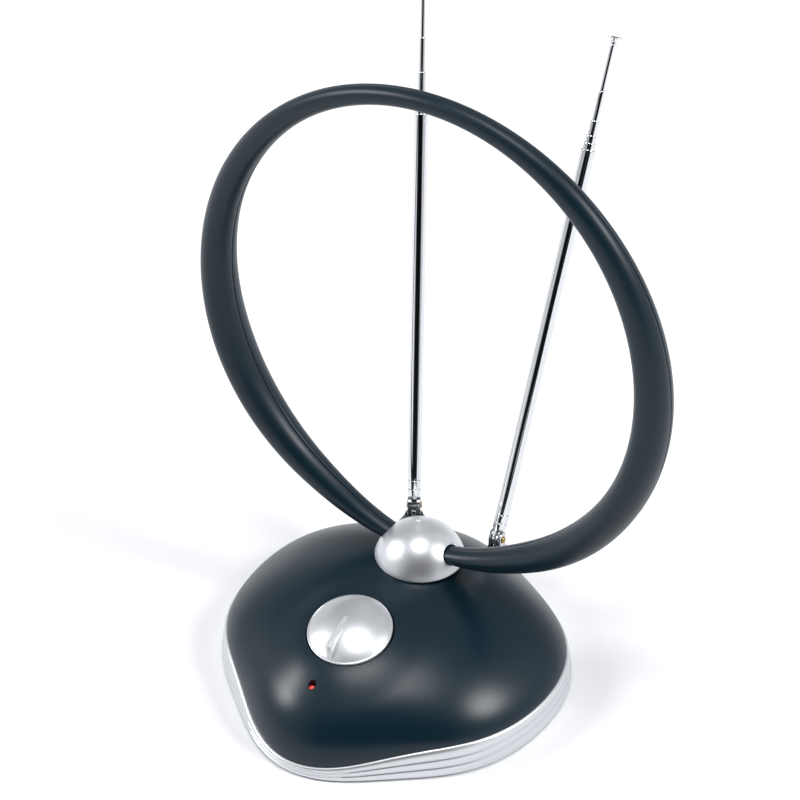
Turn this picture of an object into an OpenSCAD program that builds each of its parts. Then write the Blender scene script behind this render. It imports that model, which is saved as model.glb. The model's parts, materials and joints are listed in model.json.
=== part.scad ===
// Indoor television antenna: a lobed base with a gain knob and a power light, a turning
// turret that carries an oval loop, and two telescopic rods on swivelling knuckles.
// The origin is on the table under the middle of the base, the front is -Y and up is +Z.

/* [Base outline] */
// Mean radius of the base
base_r = 72.7; // [68:0.1:80]
// How far the outline leans to the back
base_back = 3.2; // [1:0.1:5]
// Narrowing of the outline from front to back
base_oval = 0.5; // [0:0.1:1.5]
// Three-sided swelling of the outline
base_three = 1.4; // [0:0.1:2.5]
// Four-sided swelling of the outline
base_four = 1.9; // [0:0.1:3]
// Six-sided swelling of the outline
base_six = 1.2; // [0:0.1:2]
// How far the rubber feet stand out below
feet_out = 1; // [0.6:0.1:2]

/* [Bezel] */
// Mean height of the silver band
band_h = 9.9; // [9:0.1:13]
// Wave of the band's height, low at front and back
band_wave = 3.7; // [1:0.1:4.5]
// Fourfold wave of the band's height
band_four = 1.7; // [0:0.1:2.2]
// Difference of the band's height between the back and the front
band_lean = 0.5; // [0:0.1:1]
// Least inset of the band's top edge
band_inset = 1.3; // [1:0.1:2]
// Inset of the band's top edge for each millimetre of height
band_slope = 0.1; // [0.05:0.01:0.15]
// Wall of the band at its foot
band_foot_wall = 3.4; // [2.8:0.1:4]
// Height of the plain foot inside the band
band_foot_h = 2.5; // [2.2:0.1:3]

/* [Shell] */
// Height of the crown above the band's bottom
crown_h = 40.9; // [38:0.1:44]
// Roundness of the crown
crown_round = 2.3; // [2:0.05:2.6]
// Added roundness towards the front
crown_round_front = 0.6; // [0:0.05:0.8]
// Steepness of the crown's edge
crown_edge = 0.72; // [0.65:0.01:0.8]
// How much fuller the front shoulder is
crown_shoulder = 0.22; // [0:0.01:0.26]
// Wall of the shell
shell_wall = 2.2; // [1.8:0.1:2.8]
// Gap between the shell and the band
seam_gap = 0.25; // [0.15:0.05:0.4]
// Radius of the cover screw bosses
boss_r = 3.6; // [3.2:0.1:4.5]

/* [Bottom cover] */
// Thickness of the bottom cover
cover_t = 2; // [1.6:0.1:2.4]
// Gap round the bottom cover
cover_gap = 0.3; // [0.2:0.05:0.5]
// Radius of the rubber feet
foot_r = 5; // [4:0.1:6]
// Depth of the foot seats
foot_seat = 0.8; // [0.4:0.1:1.2]
// Radius of the cover screws
screw_r = 1.4; // [1.2:0.05:1.6]
// Length of the ballast plate
ballast_w = 72; // [60:1:80]
// Depth of the ballast plate
ballast_d = 30; // [24:1:32]
// Thickness of the ballast plate
ballast_t = 4; // [3:0.1:6]

/* [Gain knob] */
// Radius of the knob
knob_r = 17.2; // [15:0.1:18]
// Distance of the knob in front of the origin
knob_front = 27.5; // [26:0.1:29]
// Forward tilt of the knob
knob_tilt = 12.5; // [10:0.1:14]
// Rise of the crown towards the knob
knob_fill = 1.2; // [0:0.1:1.5]
// How far the knob's foot lies below the crown's middle there
knob_sink = 1.8; // [1.2:0.1:2.2]
// Height of the knob's lip
knob_lip = 1.2; // [0.8:0.1:1.8]
// Height of the knob's dome above its lip
knob_crown = 5; // [4:0.1:6]
// Wall of the knob
knob_wall = 1.6; // [1.2:0.1:2.2]
// Gap between the knob and its pocket
knob_gap = 0.5; // [0.3:0.05:0.8]
// Width of the pointer
pointer_w = 2.5; // [1.8:0.1:3.5]
// Radius of the gain control's shaft
pot_shaft_r = 3; // [2.5:0.05:3.2]
// Radius of the gain control's body
pot_r = 8; // [7:0.1:9]
// Height of the gain control's body
pot_h = 7; // [6:0.1:8]

/* [Power light] */
// Radius of the light
led_r = 1.5; // [1.3:0.05:2]
// Distance of the light in front of the origin
led_front = 53.9; // [52.5:0.1:55]
// How far the light lies below the shell
led_sink = 1.2; // [0.6:0.1:2]

/* [Turret] */
// Distance of the turret behind the origin
turret_back = 23.9; // [22:0.1:26]
// Radius of the silver dome
dome_r = 19.6; // [18.5:0.1:20.5]
// Wall of the silver dome
dome_wall = 1.8; // [1.4:0.1:2.2]
// Height of the dome's foot above its centre
dome_foot = 5.2; // [4.8:0.1:5.6]
// Running gap below the turret
turret_gap = 0.3; // [0.2:0.05:0.5]
// Radius of the turret's stem
stem_r = 6; // [5.5:0.1:6.5]
// Radial play of the turret's stem
stem_play = 0.08; // [0.05:0.01:0.1]
// Radius of the hole for the leads
stem_bore_r = 4; // [3:0.1:4.4]
// Thickness of the turret's base plate
plate_t = 1.5; // [1.3:0.1:1.8]

/* [Loop] */
// Half width of the loop's middle line
loop_w = 97.2; // [92:0.1:100]
// Half height of the loop's middle line
loop_h = 98.65; // [95:0.1:101]
// Height of the loop's lowest middle point above the dome's foot
loop_lift = 6.85; // [6.6:0.05:7.2]
// Half thickness of the loop at its foot
loop_foot_t = 2; // [1.9:0.05:2.3]
// Greatest half thickness of the loop
loop_wide_t = 7.1; // [6:0.1:8]
// Half thickness of the loop at its top
loop_top_t = 3.45; // [3:0.05:4]
// Half depth of the loop at its foot
loop_foot_d = 4.1; // [3.9:0.05:4.6]
// Greatest half depth of the loop
loop_wide_d = 9.25; // [8:0.05:10]
// How far the loop's foot is drawn down below the oval
loop_drop = 2.4; // [2:0.05:2.6]
// Half depth of the loop at its top
loop_top_d = 4; // [3.5:0.1:4.5]
// Wall of the loop's half shells
loop_wall = 1.4; // [1.2:0.05:1.6]
// Seam between the two half shells
loop_seam = 0.16; // [0.1:0.02:0.3]
// Radius of the conductor in the loop
wire_r = 0.7; // [0.5:0.05:0.9]

/* [Rods] */
// Half distance between the rods' hinges
rod_x = 20.8; // [20:0.1:23]
// Distance of the rods' hinges behind the origin
rod_back = 52; // [51:0.1:54]
// Height of the rods' hinges above the crown's wall
rod_rise = 11.15; // [10.5:0.1:13]
// Tilt of the rods from upright
rod_tilt = 21.45; // [10:0.05:30]
// How far the left rod is turned to its side
left_turn = 30.57; // [0:0.05:60]
// How far the right rod is turned to its side
right_turn = 0; // [0:0.05:60]
// Outer radius of the thickest tube
tube_r = 3; // [2.8:0.05:3.2]
// Wall of the tubes
tube_wall = 0.3; // [0.25:0.01:0.35]
// Radial play between tubes
tube_play = 0.1; // [0.05:0.01:0.12]
// Distance of the thickest tube's foot from the hinge
tube_start = 4.6; // [4.4:0.05:5.5]
// Length of the thickest tube
tube_len = 162.8; // [150:0.1:175]
// How much shorter the second tube is than the first
tube_less = 12.8; // [10:0.1:16]
// Radius of the tip caps
cap_r = 3.3; // [2.8:0.1:3.8]
// Length of the tip caps
cap_len = 3.4; // [3:0.1:6]
// Radius of the forks
fork_r = 3.6; // [3.4:0.05:4]
// Half thickness of the forks over their ears
fork_half = 2.8; // [2.6:0.05:3.1]
// Half thickness of the tongues
tongue_half = 1; // [0.9:0.05:1.1]
// Side play of a tongue in its fork
tongue_play = 0.1; // [0.06:0.01:0.15]
// Radius of the hinge screws
pivot_r = 1.05; // [0.9:0.05:1.2]
// Radial play of the hinge screws
pivot_play = 0.05; // [0.03:0.01:0.08]
// Radius of the forks' stems
spindle_r = 3; // [2.6:0.05:3.1]
// Radial play of the forks' stems
spindle_play = 0.07; // [0.04:0.01:0.1]

/* [Sockets] */
// Bearing at which the socket panel meets the rim
panel_at = 152; // [150.5:0.5:153]
// Thickness of the socket panel
panel_t = 2; // [1.6:0.1:2.2]
// Distance of the sockets from the middle
socket_x = 13.5; // [12:0.1:14.5]
// Height of the sockets above the table
socket_z = 16; // [15.8:0.1:17]
// Radius of the coaxial socket's thread
coax_r = 4.7; // [4.2:0.05:4.8]
// Radius of the power inlet
jack_r = 4; // [3.6:0.05:4.4]

/* [Circuit board] */
// Height of the circuit board above the bottom cover
board_lift = 9; // [7:0.1:11]
// Thickness of the circuit board
board_t = 1.6; // [1.2:0.1:2]
// Half width of the circuit board
board_half_w = 38; // [37:0.5:40]

/* [Hidden] */

// Shared clearances
touch = 0.1;
fit = 0.05;
over = 0.5;

// Colours
black = "#1c2024";
silver = "#c9cacc";
chrome = "#dfe2e4";
steel = "#b4b6b8";
brass = "#c2a24a";
copper = "#b4683a";
green = "#1f5a38";
red = "#d8281e";
grey = "#55585c";

// Outline and crown of the base
stations = 72;
rings = 12;
function outline(a) = base_r - base_back * cos(a) - base_oval * cos(2 * a) + base_three * cos(3 * a)
    + base_four * cos(4 * a) + base_six * cos(6 * a);
function band(a) = band_h - band_wave * cos(2 * a) - band_lean * cos(3 * a) - band_four * cos(4 * a);
function edge_in(a) = band_inset + band_slope * band(a);
function inside(a, d) = [(outline(a) - d) * sin(a), (d - outline(a)) * cos(a)];
function station(i) = 360 * i / stations;
function polar(r, a, z) = [r * sin(a), -r * cos(a), z];
function flat_ring(inset) = [for (i = [0:stations - 1])
    [(outline(station(i)) - inset) * sin(station(i)), -(outline(station(i)) - inset) * cos(station(i))]];
top_z = feet_out + crown_h;
function rim(a, d) = polar(outline(a) - edge_in(a) - d, a, feet_out + band(a) + seam_gap);
function round_at(a) = crown_round + crown_round_front * cos(a) + 0.2 * cos(2 * a);
function edge_at(a) = crown_edge - crown_shoulder * pow((1 + cos(a)) / 2, 4);
function rise_at(s, a) = pow(1 - pow(s, round_at(a)), edge_at(a));
function ease(f) = (1 - cos(180 * f)) / 2;
function fill(x, y) = knob_fill * (1 - ease(min(1, max(0, (norm([x, y + knob_front]) / knob_r - 1) / 0.85))));
function crown(s, a, d) = let (e = rim(a, d), x = s * e[0], y = turret_back + s * (e[1] - turret_back))
    [x, y, e[2] + (top_z - d - e[2]) * rise_at(s, a) + fill(x, y)];
// Height of the crown's outer face over a point of the plan, found by halving the angle
function bearing(a) = let (e = rim(a, 0)) atan2(e[0], turret_back - e[1]);
function angle_for(b, low, high, n) = let (mid = (low + high) / 2)
    n == 0 ? mid : bearing(mid) > b ? angle_for(b, low, mid, n - 1) : angle_for(b, mid, high, n - 1);
function crown_z(x, y) = let (a = angle_for(atan2(abs(x), turret_back - y), 0, 180, 18), e = rim(a, 0),
    s = min(1, norm([x, y - turret_back]) / norm([e[0], e[1] - turret_back])))
    e[2] + (top_z - e[2]) * rise_at(s, a) + fill(x, y);

// Heights and places that follow from the sizes above
cover_in = band_foot_wall + cover_gap;
cover_top = feet_out + cover_t;
cover_screws_at = [for (p = [[58.7, 16], [125.8, 14]], side = [-1, 1]) inside(side * p[0], p[1])];
feet_at = concat([[0, 0]], [for (p = [[31, 9], [146.8, 11]], side = [-1, 1]) inside(side * p[0], p[1])]);
board_corner = inside(21.1, 8.3);
board_screws_at = concat([for (side = [-1, 1]) inside(side * 17.7, 17.9)], [[33, 3], [-33, 3]]);
ballast_y = 14;
board_z = cover_top + board_lift;
board_top = board_z + board_t;
board_screw_r = 1;
standoff_r = 3;
boss_gap = 0.2;
head_r = 2.6;
head_t = 1.2;

knob_z = crown_z(0, -knob_front) - knob_sink;
skirt = 1.4;
pocket_floor = -3.2;
cup_top = -0.6;
pocket_wall = 1.7;
cup_floor = 2;
knob_cap_r = (pow(knob_r - 0.6, 2) + pow(knob_crown, 2)) / (2 * knob_crown);
function knob_dome(r, less) = knob_lip + knob_crown - knob_cap_r + sqrt(pow(knob_cap_r - less, 2) - r * r);
bush_r = pot_shaft_r + 0.7;
bush_nut_t = 1.6;

led_z = crown_z(0, -led_front);

foot_z = top_z - touch + turret_gap;
pedestal_z = foot_z - turret_gap;
dome_z = foot_z - dome_foot;
hub_r = stem_r + 4.5;
hub_z = pedestal_z - 5.3;
washer_t = 0.8;
turret_nut_t = 2.3;
stem_end = hub_z - touch - washer_t - touch - turret_nut_t - 0.4;
dome_in_r = dome_r - dome_wall;
dome_rim = sqrt(pow(dome_r, 2) - pow(dome_foot, 2));
plate_r = sqrt(pow(dome_in_r, 2) - pow(dome_foot + plate_t, 2)) - 0.2;

loop_z = foot_z + loop_lift + loop_h;
loop_wide_at = 62;
loop_deep_at = 70;
loop_drop_end = 33.8;
loop_stations = 90;
loop_open = 3.7;
arc_points = 9;
function swell(t, at, low, wide, high, rise, fall) = t < at
    ? low + (wide - low) * ease(pow(t / at, rise))
    : wide + (high - wide) * ease(pow((t - at) / (180 - at), fall));
function from_foot(t) = t > 180 ? 360 - t : t;
function loop_t(t) = swell(from_foot(t), loop_wide_at, loop_foot_t, loop_wide_t, loop_top_t, 0.57, 1.2);
function loop_d(t) = swell(from_foot(t), loop_deep_at, loop_foot_d, loop_wide_d, loop_top_d, 0.77, 0.75);
function drop(t) = loop_drop * (1 - ease(min(1, from_foot(t) / loop_drop_end)));
function loop_mid(t) = [(loop_w + drop(t)) * sin(t), turret_back, loop_z - (loop_h + drop(t)) * cos(t)];
function loop_at(x) = asin(x / (loop_w + loop_drop));
function under_loop(x) = loop_mid(loop_at(x))[2] - loop_t(loop_at(x));
function loop_point(t, u, v) = loop_mid(t) + [u * sin(t), v, -u * cos(t)];
function loop_angle(i) = loop_open + (360 - 2 * loop_open) * i / loop_stations;
saddle_in = 5.6;
saddle_out = 13;
saddle_half = 5;
loop_screw_x = 9.5;
loop_screw_y = 2.1;
loop_screw_r = 1;
loop_screw_top = loop_mid(loop_at(loop_screw_x))[2] - 0.3;
slot_play = 0.35;

tubes = 6;
tube_step = tube_wall + tube_play;
function tube_radius(i) = tube_r - tube_step * (i - 1);
function tube_length(i) = i == 1 ? tube_len : tube_len - tube_less - 2 * (i - 2);
left_out = [0, 2.7, 3.4, 10.6, 13.8, 35];
right_out = [0, 2.7, 2.9, 5.9, 11.7, 18.2];
function total(list, n) = n == 0 ? 0 : list[n - 1] + total(list, n - 1);
function tube_top(out, i) = tube_start + tube_len + total(out, i);
seat_z = crown_z(rod_x, rod_back);
hinge_z = seat_z + rod_rise;
fork_foot = 4.8;
fork_slot = 3.5;
seat_r = 7;
seat_top_r = 3.8;
seat_drop = 7;
spindle_end = 5;
spindle_nut_t = 2.2;
spindle_nut_rim = 1.6;
groove_at = [2.85, 6.7];
groove_r = 0.45;
plug_len = 9;

ledge_in = 2.7;
ledge_grow = 0.7;
panel_half = rim(panel_at, ledge_in)[0];
panel_in = rim(panel_at, ledge_in)[1] - 0.2;
panel_back = panel_in + panel_t;
panel_top_half = panel_half + 1.1;
panel_low_half = panel_half - 2.6;
panel_steps = 12;
ledge_t = 1.5;
ledge_z = feet_out + band(158) + seam_gap + touch + ledge_t;
nut_rim = 1.6;

// Solid lofted through rings of points; an open one is capped with strips
module loft(sections, closed) {
    n = len(sections);
    m = len(sections[0]);
    last = closed ? n - 1 : n - 2;
    sides = [for (i = [0:last], j = [0:m - 1], half = [0, 1]) let (
        p = i * m + j,
        q = i * m + (j + 1) % m,
        r = ((i + 1) % n) * m + j,
        s = ((i + 1) % n) * m + (j + 1) % m) half == 0 ? [p, q, s] : [p, s, r]];
    caps = closed ? [] : [for (j = [0:m / 2 - 2]) each [
        [m - 1 - j, m - 2 - j, j + 1, j],
        [(n - 1) * m + j, (n - 1) * m + j + 1, n * m - 2 - j, n * m - 1 - j]]];
    polyhedron(concat([for (s = sections) each s], []), concat(sides, caps), convexity = 8);
}

module post(r, low, high) {
    translate([0, 0, low]) cylinder(r = r, h = high - low, $fn = 48);
}

module at_each(places) {
    for (p = places) translate([p[0], p[1], 0]) children();
}

module hexagon(corner_r, low, high) {
    translate([0, 0, low]) cylinder(r = corner_r, h = high - low, $fn = 6);
}

// Local frames: the knob's foot, the turret's axis and the two rods
module knob_frame() {
    translate([0, -knob_front, knob_z]) rotate([knob_tilt, 0, 0]) children();
}

module turret_frame() {
    translate([0, turret_back, 0]) children();
}

module swivel_frame(side) {
    turn = side > 0 ? right_turn : left_turn;
    translate([side * rod_x, rod_back, hinge_z]) rotate([0, 0, -side * turn]) children();
}

module rod_frame(side) {
    swivel_frame(side) rotate([-rod_tilt, 0, 0]) children();
}

module bottom_cover() color(grey) {
    difference() {
        union() {
            translate([0, 0, feet_out]) linear_extrude(cover_t) polygon(flat_ring(cover_in));
            at_each(board_screws_at) post(standoff_r, cover_top - over, board_z);
        }
        at_each(feet_at) post(foot_r + fit, feet_out - over, feet_out + foot_seat);
        at_each(cover_screws_at) post(screw_r + 0.2, feet_out - over, cover_top + over);
        at_each(board_screws_at) post(board_screw_r + fit, cover_top, board_z + over);
    }
}

module rubber_feet() color(black) {
    at_each(feet_at) post(foot_r - touch, 0, feet_out + foot_seat - fit);
}

module cover_screws() color(steel) {
    at_each(cover_screws_at) difference() {
        union() {
            post(screw_r, feet_out - 0.1, cover_top + 9);
            post(head_r, feet_out - 0.7, feet_out - fit);
        }
        translate([0, 0, feet_out - 0.7]) cube([2.8, 0.5, 0.6], center = true);
        translate([0, 0, feet_out - 0.7]) cube([0.5, 2.8, 0.6], center = true);
    }
}

module ballast_plate() color(steel) {
    translate([-ballast_w / 2, ballast_y, cover_top + touch]) cube([ballast_w, ballast_d, ballast_t]);
}

// The band: three fine tiers, a bright shoulder and a plain foot inside
module bezel() color(silver) {
    tiers = [[0.3, 0], [0, 0.07], [0.06, 0.33], [0.18, 0.35], [0.24, 0.62], [0.38, 0.64], [0.46, 0.84],
        [0.62, 0.95], [1, 1]];
    loft([for (i = [0:stations - 1]) let (a = station(i), b = band(a), e = edge_in(a), r = outline(a)) concat(
        [for (p = tiers) polar(r - p[0] * e, a, feet_out + p[1] * b)],
        [polar(r - e - shell_wall, a, feet_out + b),
        polar(r - band_foot_wall, a, feet_out + band_foot_h),
        polar(r - band_foot_wall, a, feet_out)])], true);
}

// The crown is a ring round the turret's axis, closed there by the hub
module crown_wall() {
    eye = 0.05;
    steps = [for (k = [0:rings]) eye + (1 - eye) * (1 - pow(1 - k / rings, 1.6))];
    loft([for (i = [0:stations - 1]) let (a = station(i)) concat(
        [for (k = [rings:-1:0]) crown(steps[k], a, 0)],
        [for (k = [0:rings]) crown(steps[k], a, shell_wall)])], true);
}

module top_shell() color(black) {
    difference() {
        union() {
            crown_wall();
            // Pedestal and hub of the turret
            turret_frame() difference() {
                post(dome_rim + touch, pedestal_z - 6, pedestal_z);
                post(dome_rim - 2, pedestal_z - 7, pedestal_z - shell_wall);
            }
            turret_frame() post(hub_r, hub_z, pedestal_z);
            // Cup under the knob
            knob_frame() post(knob_r + knob_gap + pocket_wall, pocket_floor - cup_floor, cup_top);
            // Seats of the rods
            for (side = [-1, 1]) translate([side * rod_x, rod_back, 0]) {
                post(seat_r, seat_z - seat_drop, seat_z + 0.3);
                translate([0, 0, seat_z + 0.3])
                    cylinder(r1 = seat_r, r2 = seat_top_r, h = rod_rise - fork_foot - touch - 0.3, $fn = 48);
            }
            // Bosses of the cover screws
            for (p = cover_screws_at) translate([p[0], p[1], 0])
                post(boss_r, cover_top + boss_gap, crown_z(p[0] * 1.07, p[1] * 1.07) - 0.5);
            // Socket panel and the ledge behind it
            translate([0, panel_back, 0]) rotate([90, 0, 0]) linear_extrude(panel_t) polygon(concat(
                [for (i = [-panel_steps:panel_steps]) let (x = i * panel_top_half / panel_steps)
                    [x, crown_z(x, panel_back) - 0.5]],
                [for (p = [[panel_top_half, 0.15], [panel_low_half, 0.15], [panel_low_half, ledge_t]])
                    [p[0], ledge_z - p[1]]],
                [for (p = [[panel_low_half, ledge_t], [panel_low_half, 0.15], [panel_top_half, 0.15]])
                    [-p[0], ledge_z - p[1]]]));
            translate([0, 0, ledge_z - ledge_t]) linear_extrude(ledge_t) polygon(concat(
                [for (i = [-panel_steps:panel_steps]) let (
                    e = rim(180 + (180 - panel_at) * i / panel_steps,
                        ledge_in - ledge_grow * (1 - abs(i) / panel_steps)))
                    [e[0], e[1]]],
                [[-panel_half, panel_in], [panel_half, panel_in]]));
        }
        // Room behind the socket panel
        translate([-base_r, panel_back, ledge_z]) cube([2 * base_r, base_r, crown_h]);
        // Flat top and bore of the pedestal
        turret_frame() post(dome_rim + 2, pedestal_z, pedestal_z + 4);
        turret_frame() post(stem_r + stem_play, hub_z - over, pedestal_z + 1);
        // Pocket of the knob and hole of the gain control
        knob_frame() post(knob_r + knob_gap, pocket_floor, 8);
        knob_frame() post(bush_r + fit, pocket_floor - cup_floor - over, pocket_floor + over);
        // Hole of the light
        translate([0, -led_front, 0]) post(led_r + 0.15, led_z - 6, led_z + 4);
        // Bores of the rods' stems
        for (side = [-1, 1]) translate([side * rod_x, rod_back, 0])
            post(spindle_r + spindle_play, seat_z - seat_drop - over, seat_z + rod_rise);
        // Pilot holes of the cover screws
        at_each(cover_screws_at) post(screw_r + fit, cover_top, cover_top + 10);
        // Holes of the sockets
        for (p = [[socket_x, coax_r], [-socket_x, jack_r]]) translate([p[0], 0, socket_z])
            rotate([-90, 0, 0]) post(p[1] + fit, panel_in - over, panel_back + over);
    }
}

module circuit_board() color(green) {
    w = board_half_w;
    c = board_corner;
    difference() {
        translate([0, 0, board_z + fit]) linear_extrude(board_t - fit)
            polygon([[-w, 9], [-w, -34], [-c[0], c[1]], c, [w, -34], [w, 9]]);
        at_each(board_screws_at) post(board_screw_r + 0.2, board_z - over, board_top + over);
    }
}

module board_screws() color(steel) {
    at_each(board_screws_at) {
        post(board_screw_r, board_z - 6, board_top + 0.2);
        post(board_screw_r + 1.1, board_top + fit, board_top + 1.4);
    }
}

module board_parts() color(grey) {
    translate([0, 0, board_top + fit]) {
        translate([6, -47, 0]) cube([12, 9, 1.7]);
        translate([-30, -34, 0]) cube([9, 7, 6]);
        translate([26, -30, 0]) cylinder(r = 4, h = 9, $fn = 32);
        translate([27, -18, 0]) cylinder(r = 3.2, h = 8, $fn = 32);
        translate([-34, -12, 0]) cylinder(r = 2.5, h = 7, $fn = 32);
        for (i = [0:5]) translate([-16 + 5 * i, 3, 0]) cube([2, 3.4, 1.2]);
    }
}

module shield_can() color(steel) {
    can = [22, 20, 7];
    wall = 0.5;
    translate([-28, -22, board_top + fit]) difference() {
        cube(can);
        translate([wall, wall, -over]) cube([can[0] - 2 * wall, can[1] - 2 * wall, can[2] - wall + over]);
        for (i = [0:3]) translate([4 + 4.6 * i, can[1] / 2, can[2] - 2 * wall])
            cylinder(r = 0.9, h = 4 * wall, $fn = 24);
    }
}

module balun() color(black) {
    core = [14, 10, 7.5];
    translate([4, -20, board_top + fit]) difference() {
        cube(core);
        for (x = [4, 10]) translate([x, -over, core[2] / 2]) rotate([-90, 0, 0])
            cylinder(r = 1.5, h = core[1] + 2 * over, $fn = 24);
    }
}

module power_light() color(red) {
    translate([0, -led_front, 0]) {
        post(led_r, led_z - led_sink - 4, led_z - led_sink - led_r);
        translate([0, 0, led_z - led_sink - led_r]) sphere(r = led_r, $fn = 32);
        for (x = [-0.7, 0.7]) translate([x, 0, 0]) post(0.3, board_top + fit, led_z - led_sink - 3);
    }
}

module coax_socket() color(chrome) {
    translate([socket_x, 0, socket_z]) rotate([-90, 0, 0]) difference() {
        union() {
            hexagon(coax_r + nut_rim, panel_in - 1.6, panel_in - touch);
            post(coax_r, panel_in - 1.5, panel_back + 9.5);
            post(2, panel_in - 7, panel_in - 1);
        }
        post(coax_r - 0.9, panel_back + 2, panel_back + 10);
    }
    translate([socket_x, 0, socket_z]) rotate([-90, 0, 0])
        post(coax_r - 1.8, panel_back + 1.9, panel_back + 8.6);
}

module coax_nut() color(chrome) {
    translate([socket_x, 0, socket_z]) rotate([-90, 0, 0]) difference() {
        hexagon(coax_r + nut_rim, panel_back + touch, panel_back + 2.3);
        post(coax_r + fit, panel_back, panel_back + 3);
    }
}

module power_inlet() color(black) {
    translate([-socket_x, 0, socket_z]) rotate([-90, 0, 0]) {
        difference() {
            union() {
                post(jack_r, panel_in - 1, panel_back + 0.3);
                post(jack_r + nut_rim, panel_in - 1.6, panel_in - touch);
                post(jack_r - 0.4, panel_in - 8, panel_in - 1);
            }
            post(2.8, panel_back - 8.5, panel_back + 1);
        }
        post(1, panel_back - 9, panel_back - 0.8);
    }
}

module gain_control() color(steel) {
    knob_frame() difference() {
        union() {
            post(pot_r, pocket_floor - cup_floor - touch - pot_h, pocket_floor - cup_floor - touch);
            post(bush_r, pocket_floor - cup_floor - 1, pocket_floor + bush_nut_t + 0.4);
        }
        post(pot_shaft_r + fit, pocket_floor - cup_floor - touch - pot_h + 2, pocket_floor + 4);
    }
    for (x = [-3.5, 0, 3.5]) translate([x, -knob_front + 1.5, 0])
        post(0.45, board_top + fit, knob_z + pocket_floor - cup_floor - pot_h + 1);
}

module gain_control_nut() color(steel) {
    knob_frame() difference() {
        hexagon(bush_r + 2, pocket_floor + fit, pocket_floor + bush_nut_t);
        post(bush_r + fit, pocket_floor - over, pocket_floor + bush_nut_t + over);
    }
}

module gain_shaft() color(brass) {
    knob_frame() post(pot_shaft_r, pocket_floor - cup_floor - pot_h + 2.2, knob_crown - 1);
}

module gain_knob() color(silver) {
    shoulder = knob_r - 0.6;
    inner = knob_r - knob_wall - 0.5;
    steps = 10;
    knob_frame() difference() {
        union() {
            rotate_extrude($fn = 96) polygon(concat(
                [for (i = [0:steps]) [shoulder * i / steps, knob_dome(shoulder * i / steps, 0)]],
                [[knob_r, knob_lip - 0.3], [knob_r, 0.2], [knob_r - 0.3, 0]],
                [[knob_r - 0.3, -skirt], [inner, -skirt]],
                [for (i = [steps:-1:0]) [inner * i / steps, knob_dome(inner * i / steps, knob_wall)]]));
            post(pot_shaft_r + 1.9, 0.6, knob_lip + knob_crown - knob_wall + 0.2);
            // Pointer: a level ridge that ends in a slanted face above the rim
            translate([-pointer_w / 2, 0, 0]) rotate([90, 0, 90]) linear_extrude(pointer_w)
                polygon([[2.2, knob_crown], [1.2, knob_crown + knob_lip + 0.4],
                    [-knob_r + 3.7, knob_crown + 0.6], [-knob_r + 0.9, knob_lip],
                    [-knob_r + 1.6, knob_lip - 0.6], [-knob_r + 7, knob_lip + 1]]);
        }
        post(pot_shaft_r + fit, -over, knob_crown - 0.9);
    }
}

module turret_base() color(black) {
    turret_frame() difference() {
        union() {
            post(plate_r, foot_z, foot_z + plate_t);
            post(stem_r, stem_end, foot_z + over);
            for (side = [-1, 1]) translate([0, saddle_half, 0]) rotate([90, 0, 0])
                linear_extrude(2 * saddle_half) polygon([
                    [side * saddle_in, foot_z + over], [side * saddle_out, foot_z + over],
                    [side * saddle_out, saddle_top(saddle_out)], [side * saddle_in, saddle_top(saddle_in)]]);
        }
        post(stem_bore_r, stem_end - over, foot_z + 8);
        loop_screw_places() post(loop_screw_r + fit, foot_z - over, foot_z + 8);
        loop_screw_places() post(loop_screw_r + 1, foot_z - over, foot_z + 1.3);
    }
}
function saddle_top(x) = under_loop(x) - 0.3;

module loop_screw_places() {
    for (x = [-loop_screw_x, loop_screw_x], y = [-loop_screw_y, loop_screw_y])
        translate([x, y, 0]) children();
}

module loop_screws() color(steel) {
    turret_frame() loop_screw_places() {
        post(loop_screw_r, foot_z + 0.3, loop_screw_top);
        post(loop_screw_r + 0.8, foot_z + 0.2, foot_z + 1.2);
    }
}

module turret_dome() color(silver) {
    slot_t = 10;
    m = loop_mid(slot_t);
    half = [loop_t(slot_t) + slot_play, loop_d(slot_t) + slot_play];
    slot = [for (i = [0:31]) [half[0] * cos(11.25 * i), half[1] * sin(11.25 * i)]];
    turret_frame() difference() {
        translate([0, 0, dome_z]) sphere(r = dome_r, $fn = 96);
        translate([0, 0, dome_z]) sphere(r = dome_in_r, $fn = 96);
        post(dome_r + 1, dome_z - dome_r - 1, foot_z);
        for (side = [-1, 1]) translate([side * m[0], 0, m[2]]) rotate([0, side * (90 - slot_t), 0])
            translate([0, 0, -dome_r / 2]) linear_extrude(dome_r) polygon(slot);
    }
}

module turret_washer() color(steel) {
    turret_frame() difference() {
        post(hub_r - 1, hub_z - touch - washer_t, hub_z - touch);
        post(stem_r + fit, hub_z - 3, hub_z + 1);
    }
}

module turret_nut() color(steel) {
    turret_frame() difference() {
        hexagon(hub_r - 1.2, stem_end + 0.4, stem_end + 0.4 + turret_nut_t);
        post(stem_r + fit, stem_end - 1, hub_z + 1);
    }
}

// One half shell of the loop: a channel between two half ellipses
module loop_half(face) {
    side = face * loop_seam / 2;
    arc = [for (k = [0:arc_points - 1]) 180 * k / (arc_points - 1)];
    back = [for (k = [arc_points - 1:-1:0]) arc[k]];
    sections = [for (i = [0:loop_stations]) let (t = loop_angle(i), a = loop_t(t), b = loop_d(t)) concat(
        [for (f = arc) loop_point(t, a * cos(f), side + face * b * sin(f))],
        [for (f = back) loop_point(t, (a - loop_wall) * cos(f), side + face * (b - loop_wall) * sin(f))])];
    difference() {
        loft(face < 0 ? sections : [for (i = [loop_stations:-1:0]) sections[i]], false);
        for (x = [-loop_screw_x, loop_screw_x]) translate([x, turret_back + face * loop_screw_y, 0])
            post(loop_screw_r + fit, foot_z, loop_screw_top + 0.2);
    }
}

module loop_front_half() color(black) loop_half(-1);

module loop_rear_half() color(black) loop_half(1);

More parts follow.
